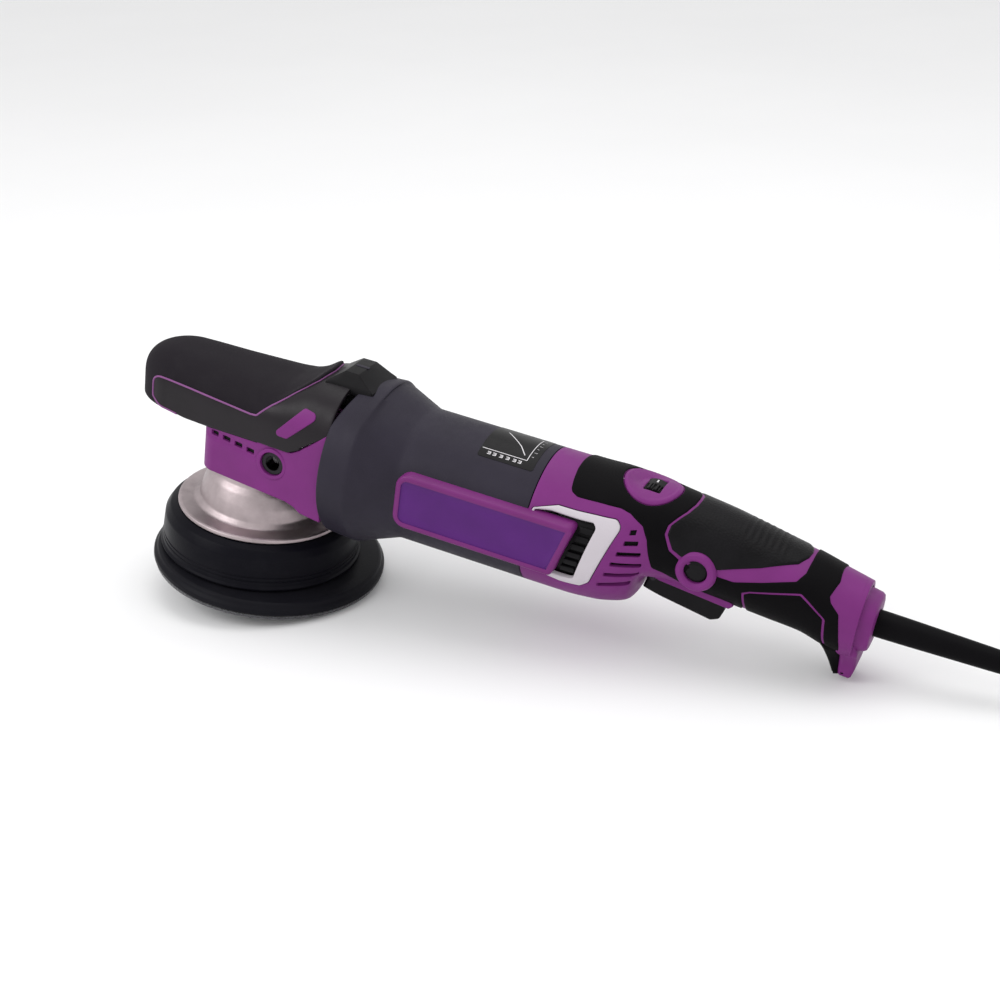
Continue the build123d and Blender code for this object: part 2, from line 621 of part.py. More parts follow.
# ---- motor --------------------------------------------------------------------------
def build_housing():
    """Motor housing: bell, cone, barrel and the cage that holds the rear bearing."""
    inner = BARREL_R - WALL
    with BuildPart() as housing:
        with BuildSketch(Plane.XZ):
            Polygon((BELL_X + 0.5, MOTOR_Z + BELL_R - 1.2), (BELL_X + 2, MOTOR_Z + BELL_R),
                    (63, MOTOR_Z + BELL_R - 0.5), (67, MOTOR_Z + BELL_R - 2.0),
                    (86, MOTOR_Z + BARREL_R + 0.2), (90, MOTOR_Z + BARREL_R),
                    (BARREL_END, MOTOR_Z + BARREL_R), (BARREL_END, MOTOR_Z + CAGE_R),
                    (REAR_BEARING[1] + 2, MOTOR_Z + CAGE_R), (REAR_BEARING[1] + 2, MOTOR_Z + 8),
                    (REAR_BEARING[1], MOTOR_Z + 8), (REAR_BEARING[1], MOTOR_Z + REAR_BEARING[2]),
                    (REAR_BEARING[0], MOTOR_Z + REAR_BEARING[2]),
                    (REAR_BEARING[0], MOTOR_Z + REAR_BEARING[2] + 3),
                    (REAR_BEARING[1] - 1, MOTOR_Z + REAR_BEARING[2] + 3),
                    (REAR_BEARING[1] - 1, MOTOR_Z + CAGE_R - 2.5),
                    (CAGE_FRONT, MOTOR_Z + CAGE_R - 2.5), (CAGE_FRONT, MOTOR_Z + inner),
                    (86, MOTOR_Z + inner), (66, MOTOR_Z + BELL_R - WALL - 2),
                    (BELL_X + 0.5, MOTOR_Z + BELL_R - WALL), align=None)
        revolve(axis=MOTOR_AXIS)
        # the rim is cut back over the top, where the bridge block sits
        with BuildSketch(Plane.XZ):
            Polygon((BELL_X - 2, 111), (BELL_X + 0.7, 111), (66.3, 122.6), (66.3, 130),
                    (BELL_X - 2, 130), align=None)
        extrude(amount=60, both=True, mode=Mode.SUBTRACT)
        # air windows of the rear cage, clear of the brushes
        with BuildSketch(Plane.YZ.offset(REAR_BEARING[1] - 2)):
            with Locations((0, MOTOR_Z)):
                with PolarLocations(21, 8):
                    Circle(4.5)
        extrude(amount=6, mode=Mode.SUBTRACT)
        # ribs that take the gear case screws
        for angle in FLANGE_SCREWS:
            with BuildSketch(Plane.YZ.offset(BELL_X + 4)):
                with Locations((0, MOTOR_Z)):
                    with PolarLocations(FLANGE_SCREW_PITCH_R, 1, start_angle=angle):
                        Circle(3.5)
                        with Locations((5, 0)):
                            Rectangle(10, 7)
                        Circle(FLANGE_SCREW_R, mode=Mode.SUBTRACT)
            extrude(amount=9)
    keep("motor_housing", housing)


def panel_outline(grow=0.0):
    """Draw the side panel, with its slanted rear edge."""
    low, high = 67.5 - grow, 98.5 + grow
    Polygon((91 - grow, low), (180 + grow, low), (188 + grow, high), (91 - grow, high), align=None)
    fillet(vertices().group_by(Axis.X)[0], 6.0)


def build_panels():
    """Raised side panels."""
    for name, side in (("left", 1), ("right", -1)):
        with BuildPart() as panel:
            with BuildSketch(Plane.XZ.offset(side * 20)):
                panel_outline()
            extrude(amount=side * (PANEL_Y - 20))
            chamfer(panel.faces().sort_by(Axis.Y)[0 if side > 0 else -1].edges(), 1.5)
            with BuildSketch(Plane.YZ.offset(80)):
                with Locations((0, MOTOR_Z)):
                    Circle(BARREL_R + 0.1)
            extrude(amount=120, mode=Mode.SUBTRACT)
        keep(f"side_panel_{name}", panel)


def build_motor():
    """Series motor: stator, armature, commutator, brushes, fan and bearings."""
    stator_bore = ARMATURE_R + AIR_GAP
    with BuildPart() as stator:
        with BuildSketch(Plane.YZ.offset(CORE_X[0])):
            with Locations((0, MOTOR_Z)):
                Circle(STATOR_R)
                Circle(STATOR_R - 5, mode=Mode.SUBTRACT)
                for side in PAIR:
                    with Locations((0, side * (stator_bore + STATOR_R - 5) / 2)):
                        Rectangle(24, STATOR_R - stator_bore)
                Circle(stator_bore, mode=Mode.SUBTRACT)
        extrude(amount=CORE_X[1] - CORE_X[0])
    keep("stator_core", stator)

    with BuildPart() as coils:
        for side in PAIR:
            with BuildSketch(Plane.YZ.offset(CORE_X[0] - 7)):
                with Locations((0, MOTOR_Z)):
                    for wing in PAIR:
                        with Locations((wing * 16.5, side * 16.5)):
                            Rectangle(6.5, 9)
            extrude(amount=CORE_X[1] - CORE_X[0] + 14)
            for end_x in (CORE_X[0] - 7, CORE_X[1] + 2):
                with BuildSketch(Plane.YZ.offset(end_x)):
                    with Locations((0, MOTOR_Z + side * 22)):
                        Rectangle(36, 5)
                extrude(amount=5)
        with BuildSketch(Plane.YZ.offset(CORE_X[0] - 8)):
            with Locations((0, MOTOR_Z)):
                Circle(stator_bore + 0.3)
        extrude(amount=CORE_X[1] - CORE_X[0] + 16, mode=Mode.SUBTRACT)
        add(stator.part, mode=Mode.SUBTRACT)
    keep("field_coils", coils)

    keep("armature_core", slotted_core())
    with BuildPart() as windings:
        for x0 in (CORE_X[0] - 7, CORE_X[1]):
            with BuildSketch(Plane.YZ.offset(x0)):
                with Locations((0, MOTOR_Z)):
                    Circle(ARMATURE_R - 1.5)
                    Circle(SHAFT_R, mode=Mode.SUBTRACT)
            extrude(amount=7)
        fillet(windings.edges().filter_by(GeomType.CIRCLE).filter_by(
            lambda e: e.radius > SHAFT_R + 2), 1.5)
    keep("armature_windings", windings)

    with BuildPart() as commutator:
        with BuildSketch(Plane.YZ.offset(COMM_X[0])):
            with Locations((0, MOTOR_Z)):
                Circle(COMM_R)
                Circle(SHAFT_R, mode=Mode.SUBTRACT)
                with PolarLocations(COMM_R, 22):
                    Rectangle(1.2, 0.4, mode=Mode.SUBTRACT)
        extrude(amount=COMM_X[1] - COMM_X[0])
        with BuildSketch(Plane.YZ.offset(CORE_X[1] + 7)):
            with Locations((0, MOTOR_Z)):
                Circle(COMM_R + 1.5)
                Circle(SHAFT_R, mode=Mode.SUBTRACT)
        extrude(amount=COMM_X[0] - CORE_X[1] - 7)
    keep("commutator", commutator)

    with BuildPart() as shaft:
        with BuildSketch(Plane.XZ):
            Polygon((FRONT_BEARING[0] - 2, MOTOR_Z), (FRONT_BEARING[0] - 2, MOTOR_Z + SHAFT_R),
                    (REAR_BEARING[0] - RUN, MOTOR_Z + SHAFT_R),
                    (REAR_BEARING[0] - RUN, MOTOR_Z + REAR_JOURNAL_R),
                    (REAR_BEARING[1] + 1, MOTOR_Z + REAR_JOURNAL_R), (REAR_BEARING[1] + 1, MOTOR_Z),
                    align=None)
        revolve(axis=MOTOR_AXIS)
    keep("armature_shaft", shaft)

    with BuildPart() as fan:
        with BuildSketch(Plane.YZ.offset(FAN_X[1] - 2)):
            with Locations((0, MOTOR_Z)):
                Circle(FAN_R)
                Circle(SHAFT_R, mode=Mode.SUBTRACT)
        extrude(amount=2)
        with BuildSketch(Plane.YZ.offset(FAN_X[0])):
            with Locations((0, MOTOR_Z)):
                Circle(10)
                with PolarLocations((FAN_R + 10) / 2, 11):
                    Rectangle(FAN_R - 10, 1.6, rotation=24)
                Circle(SHAFT_R, mode=Mode.SUBTRACT)
        extrude(amount=FAN_X[1] - FAN_X[0] - 2)
    keep("fan", fan)

    keep("fan_baffle", turned_x(70, 73, 35.7, 24))
    keep("motor_bearing_front", bearing_x(FRONT_BEARING, SHAFT_R + RUN))
    keep("motor_bearing_rear", bearing_x(REAR_BEARING, REAR_JOURNAL_R + RUN))
    build_brushes()


def slotted_core():
    """Laminated armature core with its winding slots."""
    with BuildPart() as core:
        with BuildSketch(Plane.YZ.offset(CORE_X[0])):
            with Locations((0, MOTOR_Z)):
                Circle(ARMATURE_R)
                Circle(SHAFT_R, mode=Mode.SUBTRACT)
                with PolarLocations(ARMATURE_R - 4, 11):
                    Rectangle(8.5, 2.0, mode=Mode.SUBTRACT)
        extrude(amount=CORE_X[1] - CORE_X[0])
    return core


def build_brushes():
    """Two brush holders with their carbon brushes and springs."""
    cage_in = CAGE_R - 2.5
    with BuildPart() as holders:
        for side in PAIR:
            with BuildSketch(Plane.XZ.offset(-side * (COMM_R + 2))):
                with Locations((BRUSH_X, MOTOR_Z)):
                    Rectangle(9, 11)
                    Rectangle(6.2, 8.2, mode=Mode.SUBTRACT)
            extrude(amount=-side * (cage_in - COMM_R - 3.2))
    keep("brush_holders", holders)
    with BuildPart() as brushes:
        for side in PAIR:
            with BuildSketch(Plane.XZ.offset(-side * (COMM_R + GAP))):
                with Locations((BRUSH_X, MOTOR_Z)):
                    Rectangle(6, 8)
            extrude(amount=-side * 9)
    keep("carbon_brushes", brushes)
    with BuildPart() as springs:
        for side in PAIR:
            with BuildSketch(Plane.XZ.offset(-side * (COMM_R + GAP + 9))):
                with Locations((BRUSH_X, MOTOR_Z)):
                    Circle(2.8)
                    Circle(2.0, mode=Mode.SUBTRACT)
            extrude(amount=-side * (cage_in - COMM_R - GAP - 9 - 1.4))
    keep("brush_springs", springs)


# ---- handle -------------------------------------------------------------------------
def handle_loft(inset, first=0, last=len(HANDLE)):
    """Solid of the handle, 'inset' under its outer skin."""
    with BuildPart() as body:
        for x, half, low, high in HANDLE[first:last]:
            with BuildSketch(Plane.YZ.offset(x)):
                with Locations((0, (low + high) / 2)):
                    Ellipse(half - inset, (high - low) / 2 - inset)
        loft()
    return body.part


def grip_line(grow=0.0):
    """Draw the main grip and the strip along its lower edge, 'grow' past its edge."""
    Polygon((241 - grow, 125), (235.4 - grow, 111.8), (227.0 - grow, 103.6 + grow),
            (227.1 - grow, 100.7), (231.1 - grow, 93.7 - grow), (234.5, 92.3 - grow),
            (246, 89), (254.7, 87.1), (262.5, 86.9), (275.8, 91.2), (290.7, 95.3),
            (293.5 + grow, 98.8), (294 + grow, 125), align=None)


def strip_line():
    """Draw the strip between the button's ring and the rear of the grip."""
    Polygon((240, 89), (254.5, 90.9), (272.8, 96.4), (288.9, 100.8), (291.5, 102.4), (293, 126),
            (300, 126), (300, 80), (240, 80), align=None)


def belly_line(grow=0.0):
    """Draw the lower grip panel behind the trigger."""
    Polygon((267.0 - grow, 50), (268.6 - grow, 81.5 + grow), (294.3, 90.0 + grow),
            (307.1 + grow, 81.3 + grow), (309.3 + grow, 50), align=None)


def overmould_line():
    """Draw the outline of the black overmould: neck, flanks, rear band and finger stop."""
    Polygon((174, 125), (174, 113), (175.5, 108.4), (179, 106.5), (202.3, 107.0), (211.2, 104.0),
            (217.1, 97.8), (219.4, 91.9), (221.3, 85.0), (223.1, 81.4), (235.9, 75.3),
            (251.8, 71.4), (262, 70.2), (264, 40), (316, 40), (318.5, 52), (317.1, 68.7),
            (313.7, 85.9), (308.8, 89.7), (307.5, 92.0), (309.8, 97.2), (309, 125), align=None)


def stop_outline(inset=0.0):
    """Draw the stop that hangs under the end of the handle."""
    Polygon((304, 66), (310, 60), (315 + inset, STOP_Z + 3), (317, STOP_Z + inset),
            (STOP_X - inset, STOP_Z + inset), (327 - inset, 62), (327, 66), align=None)


def bezel_plan(grow=0.0):
    """Draw the oval bezel round the speed dial, seen from above."""
    with Locations((DIAL_X - 1, 0)):
        Ellipse(14.5 + grow, 15.5 + grow)


def frame_line(grow=0.0):
    """Draw the pale frame round the rear of the side panel."""
    Polygon((162 - grow, 98.8 - grow), (172.5, 101 + grow), (202.5, 102.2 + grow),
            (205 + grow, 100), (194.5 + grow, 67.5), (190.5, 64 - grow), (179 - grow, 64 - grow),
            (179 - grow, 67.2), (186.8, 67.2 + grow), (194.8, 98.8 - grow), align=None)


def grille_line(grow=0.0):
    """Draw the dark grille between the panel and the frame."""
    Polygon((181.0, 67.6), (186.4 + grow, 67.6), (194.2 + grow, 98.4), (188.8, 98.4), align=None)


def vent_slots():
    """Draw the six slanted cooling slots of the rear housing."""
    slots = [(210.3, 100.6, 214.3, 101.6), (208.3, 94.2, 216.3, 95.6), (205.8, 87.2, 218.3, 89.8),
             (203.8, 80.8, 219.8, 85.2), (201.8, 74.4, 219.8, 81.2), (199.3, 68.8, 216.3, 74.8)]
    for x0, z0, x1, z1 in slots:
        middle = Location(((x0 + x1) / 2, (z0 + z1) / 2), degrees(atan2(z1 - z0, x1 - x0)))
        with Locations(middle):
            SlotOverall(hypot(x1 - x0, z1 - z0), 1.8)


def prism(*outlines):
    """Solid through the whole handle with the given side outline; later ones are cut out."""
    with BuildPart() as body:
        with BuildSketch(Plane.XZ):
            outlines[0]()
        extrude(amount=60, both=True)
        for outline in outlines[1:]:
            with BuildSketch(Plane.XZ):
                outline()
            extrude(amount=60, both=True, mode=Mode.SUBTRACT)
    return body.part


def upright(outline, low, high):
    """Solid with the given plan outline between two heights."""
    with BuildPart() as body:
        with BuildSketch(Plane.XY.offset(low)):
            outline()
        extrude(amount=high - low)
    return body.part


def button_circle(radius):
    with Locations((BUTTON_X, BUTTON_Z)):
        Circle(radius)


def handle_skins():
    """Outer solid of the handle and the same solid under the rubber."""
    stop_half = 9.5
    solids = []
    for inset in (0.0, SKIN):
        with BuildPart() as body:
            add(handle_loft(inset))
            with BuildSketch(Plane.XZ):
                stop_outline(inset)
            extrude(amount=stop_half - inset, both=True)
            with BuildSketch(Plane.YZ.offset(HANDLE_END - 3)):
                with Locations((0, CORD_Z)):
                    Circle(17.0)
            with BuildSketch(Plane.YZ.offset(GUARD[0])):
                with Locations((0, CORD_Z)):
                    Circle(14.5)
            loft()
        solids.append(body.part)
    return solids


def handle_core():
    """Everything that is hollow in the handle: motor end, switch room, slots and bores."""
    with BuildPart() as hollow:
        add(handle_loft(SKIN + WALL - 0.5, 0, len(HANDLE) - 1))
        with BuildSketch(Plane.YZ.offset(BARREL_END - 1)):
            with Locations((0, MOTOR_Z)):
                Circle(CAGE_R + SLIT)
        extrude(amount=REAR_BEARING[1] + 3 - BARREL_END)
        with BuildSketch(Plane.XZ):
            Polygon((216.4, 40), (216.4, 76.3), (261, 76.3), (261, 40), align=None)
        extrude(amount=TRIGGER_HALF + 0.5, both=True)
        with BuildSketch(Plane.XZ):
            with Locations(TRIGGER_PIN):
                Circle(TRIGGER_PIN_R)
        extrude(amount=13.5, both=True)
        with BuildSketch(Plane.XY.offset(DIAL_Z)):
            with Locations((DIAL_X, 0)):
                Rectangle(2 * DIAL_R + 1, 2 * DIAL_HALF + 1)
        extrude(amount=20)
        with BuildSketch(Plane.XZ):
            button_circle(BUTTON_R + RUN)
        extrude(amount=40)
        with BuildSketch(Plane.XZ):
            button_circle(BUTTON_FLANGE[2] + GAP)
        extrude(amount=BUTTON_FLANGE[1] + GAP)
        with BuildSketch(Plane.YZ.offset(GUARD_COLLAR[1] - 2)):
            with Locations((0, CORD_Z)):
                Circle(GUARD[2] + SLIT)
        extrude(amount=60)
        with BuildSketch(Plane.YZ.offset(CLAMP_X + 2)):
            with Locations((0, CORD_Z)):
                Circle(CORD_R + SLIT)
        extrude(amount=GUARD_COLLAR[0] - CLAMP_X)
        with BuildSketch(Plane.YZ.offset(GUARD_COLLAR[0])):
            with Locations((0, CORD_Z)):
                Circle(GUARD_COLLAR[2])
        extrude(amount=GUARD_COLLAR[1] - GUARD_COLLAR[0])
        with BuildSketch(Plane.XZ):
            grille_line(0.4)
        extrude(amount=60, both=True)
        add(panel_room())
    return hollow.part


def panel_room():
    """Room of both side panels outside the barrel's radius."""
    with BuildPart() as room:
        with BuildSketch(Plane.XZ):
            panel_outline(SLIT)
        extrude(amount=60, both=True)
        with BuildSketch(Plane.YZ.offset(80)):
            with Locations((0, MOTOR_Z)):
                Circle(BARREL_R + 0.05)
        extrude(amount=120, mode=Mode.SUBTRACT)
    return room.part


def handle_seats(under_skin):
    """Screw posts, shelf of the control board, ribs of the switch and saddle of the cord."""
    with BuildPart() as posts:
        with BuildSketch(Plane.XZ):
            with Locations(*SCREW_POSTS):
                Circle(POST_R)
        extrude(amount=40, both=True)
        with BuildSketch(Plane.XZ):
            with Locations((206, BOARD_Z - 1.5)):
                Rectangle(6, 3)
        extrude(amount=40, both=True)
        with BuildSketch(Plane.XZ):
            for x in (SWITCH[0] + 6, SWITCH[1] - 6):
                with Locations((x, (SWITCH[2] + SWITCH[3]) / 2)):
                    Rectangle(2, SWITCH[3] - SWITCH[2])
        extrude(amount=40, both=True)
        with BuildSketch(Plane.XZ):
            Polygon((SWITCH[0], SWITCH[2]), (SWITCH[1], SWITCH[2]), (SWITCH[1], SWITCH[3] + 10),
                    (SWITCH[0], SWITCH[3] + 10), align=None)
        extrude(amount=SWITCH_HALF, both=True, mode=Mode.SUBTRACT)
        with BuildSketch(Plane.XZ):
            with Locations((CLAMP_X, (66 + CORD_Z - CORD_R) / 2)):
                Rectangle(8, CORD_Z - CORD_R - 66)
        extrude(amount=12, both=True)
        for side in PAIR:
            with BuildSketch(Plane.XY.offset(CORD_Z - CORD_R - 1)):
                with Locations((CLAMP_X, side * 8.5)):
                    Rectangle(8, 6)
            extrude(amount=2 * CORD_R + 1)
        add(under_skin, mode=Mode.INTERSECT)
        add(screw_pockets(), mode=Mode.SUBTRACT)
    return posts.part


def screw_bores():
    """Threaded bores of the shell screws, in both shells."""
    with BuildPart() as bores:
        with BuildSketch(Plane.XZ):
            with Locations(*SCREW_POSTS):
                Circle(SCREW_R)
        extrude(amount=SCREW_DEPTH, both=True)
    return bores.part


def screw_pockets():
    """Holes through which the shell screws are driven, on the right side only."""
    with BuildPart() as holes:
        with BuildSketch(Plane.XZ.offset(-SCREW_DEPTH)):
            with Locations(*SCREW_POSTS):
                Circle(SCREW_HEAD_R + 0.2)
        extrude(amount=-40)
    return holes.part


def build_handle():
    """Two handle shells, split down the middle, with their moulded-on rubber and trims."""
    skin, under_skin = handle_skins()
    core = handle_core()
    pockets = screw_pockets()
    with BuildPart() as ring:
        with BuildSketch(Plane.XZ.offset(BUTTON_FLANGE[1] + GAP)):
            button_circle(BUTTON_RING_R)
        extrude(amount=BUTTON_FACE + 0.8 - BUTTON_FLANGE[1] - GAP)
        with BuildSketch(Plane.XZ.offset(10)):
            button_circle(BUTTON_R + RUN)
        extrude(amount=30, mode=Mode.SUBTRACT)
    with BuildPart() as ring_room:
        with BuildSketch(Plane.XZ.offset(12)):
            button_circle(BUTTON_RING_R)
        extrude(amount=30)

    bezel = upright(bezel_plan, 100, 130)
    regions = {
        "handle_overmould": prism(overmould_line, lambda: grip_line(0.8), lambda: belly_line(0.8)),
        "main_grip": prism(grip_line, strip_line),
        "lower_grip": prism(belly_line),
    }
    reliefs = []
    for label, region in regions.items():
        with BuildPart() as relief:
            add(region)
            add(under_skin, mode=Mode.SUBTRACT)
            add(bezel, mode=Mode.SUBTRACT)
            add(ring_room.part, mode=Mode.SUBTRACT)
        reliefs.append(relief.part)
        with BuildPart() as rubber:
            add(relief.part)
            add(skin, mode=Mode.INTERSECT)
            add(core, mode=Mode.SUBTRACT)
            add(pockets, mode=Mode.SUBTRACT)
        keep(label, rubber)

    with BuildPart() as dial_bezel:
        add(bezel)
        add(skin, mode=Mode.INTERSECT)
        add(under_skin, mode=Mode.SUBTRACT)
        add(core, mode=Mode.SUBTRACT)
    keep("dial_bezel", dial_bezel)

    with BuildPart() as frame_room:
        add(prism(frame_line))
        add(handle_loft(2.0), mode=Mode.SUBTRACT)
    with BuildPart() as frames:
        add(handle_loft(-0.7))
        add(prism(frame_line), mode=Mode.INTERSECT)
        add(handle_loft(2.0), mode=Mode.SUBTRACT)
    keep("vent_frames", frames)
    build_grilles()

    with BuildPart() as slots:
        with BuildSketch(Plane.XZ):
            vent_slots()
        extrude(amount=60, both=True)
    with BuildPart() as oval:
        add(bezel)
        add(under_skin, mode=Mode.SUBTRACT)
    with BuildPart() as shell:
        add(skin)
        add(reliefs + [oval.part, frame_room.part, core, slots.part, pockets], mode=Mode.SUBTRACT)
        add(handle_seats(under_skin))
        add(screw_bores(), mode=Mode.SUBTRACT)
        add(ring.part)
    for name, keep_side in (("left", Keep.TOP), ("right", Keep.BOTTOM)):
        with BuildPart() as half:
            add(shell.part)
            split(bisect_by=Plane.XZ, keep=keep_side)
        with BuildPart() as largest:
            add(half.part.solids().sort_by(SortBy.VOLUME)[-1])
        keep(f"handle_shell_{name}", largest)


def build_grilles():
    """Dark grilles that fill the slots behind the side panels."""
    with BuildPart() as grilles:
        add(handle_loft(1.2))
        add(prism(grille_line), mode=Mode.INTERSECT)
        add(handle_loft(3.6), mode=Mode.SUBTRACT)
        with BuildSketch(Plane.XZ):
            for index in range(5):
                share = (index + 0.5) / 5
                with Locations((184.0 + 7.8 * share, 68.5 + 29.0 * share)):
                    Rectangle(3.0, 4.0)
        extrude(amount=60, both=True, mode=Mode.SUBTRACT)
    keep("vent_grilles", grilles)


def build_controls():
    """Speed dial, lock button, trigger, switch, control board and screws."""
    with BuildPart() as dial:
        with BuildSketch(Plane.XZ.offset(-DIAL_HALF)):
            with Locations((DIAL_X, DIAL_Z)):
                Circle(DIAL_R)
                Circle(DIAL_BORE_R, mode=Mode.SUBTRACT)
                with PolarLocations(DIAL_R, 30):
                    Rectangle(0.8, 0.8, mode=Mode.SUBTRACT)
        extrude(amount=DIAL_HALF)
        with BuildSketch(Plane.XZ):
            with Locations((DIAL_X, DIAL_Z)):
                Circle(DIAL_R)
                Circle(DIAL_BORE_R, mode=Mode.SUBTRACT)
        extrude(amount=DIAL_HALF)
    keep("speed_dial", dial)

    with BuildPart() as board:
        with BuildSketch(Plane.XY.offset(BOARD_Z)):
            with Locations((DIAL_X, 0)):
                Rectangle(26, 30)
        extrude(amount=1.6)
        for side in PAIR:
            with BuildSketch(Plane.XZ.offset(side * (DIAL_HALF + 0.5))):
                Polygon((DIAL_X - 4, BOARD_Z + 1.6), (DIAL_X + 4, BOARD_Z + 1.6),
                        (DIAL_X + 3, DIAL_Z + 3), (DIAL_X - 3, DIAL_Z + 3), align=None)
            extrude(amount=side * 1.5)
        with BuildSketch(Plane.XZ):
            with Locations((DIAL_X, DIAL_Z)):
                Circle(DIAL_BORE_R - RUN)
        extrude(amount=DIAL_HALF + 1, both=True)
    keep("control_board", board)

    with BuildPart() as button:
        with BuildSketch(Plane.XZ.offset(BUTTON_FLANGE[0])):
            button_circle(BUTTON_R)
        extrude(amount=BUTTON_FACE - BUTTON_FLANGE[0])
        fillet(button.edges().sort_by(Axis.Y)[0], 0.8)
        with BuildSketch(Plane.XZ.offset(BUTTON_FLANGE[0])):
            button_circle(BUTTON_FLANGE[2])
        extrude(amount=BUTTON_FLANGE[1] - BUTTON_FLANGE[0])
        with BuildSketch(Plane.XZ.offset(SWITCH_HALF + BUTTON_TRAVEL + 0.5)):
            button_circle(2.5)
        extrude(amount=BUTTON_FLANGE[0] - SWITCH_HALF - BUTTON_TRAVEL - 0.5)
    keep("lock_button", button)

    with BuildPart() as trigger:
        with BuildSketch(Plane.XZ):
            Polygon((218.3, 73.2), (217.5, 66.0), (220.0, 61.5), (226.0, 59.3), (252.5, 55.2),
                    (256.5, 56.5), (259.0, 61.0), (259.5, 66.5), (258.6, 72.8), align=None)
            with Locations(TRIGGER_PIN):
                Circle(TRIGGER_PIN_R + RUN, mode=Mode.SUBTRACT)
        extrude(amount=TRIGGER_HALF, both=True)
        lower = trigger.edges().filter_by(lambda e: e.center().Z < 65 and abs(e.center().Y) > 8)
        chamfer(lower.filter_by(lambda e: e.length > 3), 1.5)
    keep("trigger", trigger)

    with BuildPart() as pin:
        with BuildSketch(Plane.XZ):
            with Locations(TRIGGER_PIN):
                Circle(TRIGGER_PIN_R)
        extrude(amount=13.5, both=True)
    keep("trigger_pin", pin)

    with BuildPart() as switch:
        with BuildSketch(Plane.XZ):
            Polygon((SWITCH[0], SWITCH[2]), (SWITCH[1], SWITCH[2]), (SWITCH[1], SWITCH[3]),
                    (SWITCH[0], SWITCH[3]), align=None)
        extrude(amount=SWITCH_HALF, both=True)
        chamfer(switch.edges().filter_by(Axis.Y), 1.0)
    keep("switch_body", switch)

    with BuildPart() as screws:
        with BuildSketch(Plane.XZ.offset(SCREW_DEPTH)):
            with Locations(*SCREW_POSTS):
                Circle(SCREW_R)
        extrude(amount=-2 * SCREW_DEPTH)
        with BuildSketch(Plane.XZ.offset(-SCREW_DEPTH)):
            with Locations(*SCREW_POSTS):
                Circle(SCREW_HEAD_R)
                RegularPolygon(1.3, 6, mode=Mode.SUBTRACT)
        extrude(amount=-1.8)
    keep("handle_screws", screws)


def build_cord_entry():
    """Clamp inside the handle and the tapered guard round the cord."""
    with BuildPart() as clamp:
        with BuildSketch(Plane.XY.offset(CORD_Z + CORD_R)):
            with Locations((CLAMP_X, 0)):
                Rectangle(7.6, 23)
        extrude(amount=3)
        with BuildSketch(Plane.XY.offset(CORD_Z + CORD_R + 3)):
            with Locations((CLAMP_X, -8.5), (CLAMP_X, 8.5)):
                Circle(2.6)
        extrude(amount=1.6)
    keep("cord_clamp", clamp)

    x0, x1, r0, r1 = GUARD
    with BuildPart() as guard:
        with BuildSketch(Plane.XZ):
            Polygon((CLAMP_X - 6, CORD_Z), (CLAMP_X - 6, CORD_Z + CORD_R),
                    (GUARD_COLLAR[0], CORD_Z + CORD_R), (GUARD_COLLAR[0], CORD_Z + GUARD_COLLAR[2]),
                    (GUARD_COLLAR[1], CORD_Z + GUARD_COLLAR[2]), (GUARD_COLLAR[1], CORD_Z + r0),
                    (x0, CORD_Z + r0), (x1, CORD_Z + r1), (x1, CORD_Z), align=None)
        revolve(axis=Axis((0, 0, CORD_Z), (1, 0, 0)))
    keep("cord_guard", guard, cord_pieces)


# ---- the tool at rest and its cord ---------------------------------------------------
def rest_tilt():
    """Angle that brings the plate's rear edge and the stop down to one level."""
    edge_x = ORBIT + PLATE_R - 1.0
    return degrees(atan2(STOP_Z, STOP_X - edge_x))


def rest_pose():
    """Location that lays the tool down, centred over the origin of the finished part."""
    turn = Location((0, 0, 0), (0, rest_tilt(), 0))
    boxes = [(turn * part).bounding_box() for part in pieces.values()]
    low = [min(box.min.X for box in boxes), min(box.min.Y for box in boxes),
           min(box.min.Z for box in boxes)]
    high = [max(box.max.X for box in boxes), max(box.max.Y for box in boxes)]
    return Location((-(low[0] + high[0]) / 2, -(low[1] + high[1]) / 2, -low[2])) * turn


def bend_radii(route):
    """Radius of the arc at each corner: 0.45 of the shorter run over the tangent of half the turn."""
    radii = []
    for before, corner, after in zip(route, route[1:], route[2:]):
        run_in, run_out = Vector(corner) - Vector(before), Vector(after) - Vector(corner)
        half_turn = radians(run_in.get_angle(run_out)) / 2
        radii.append(0.45 * min(run_in.length, run_out.length) / tan(half_turn))
    return radii


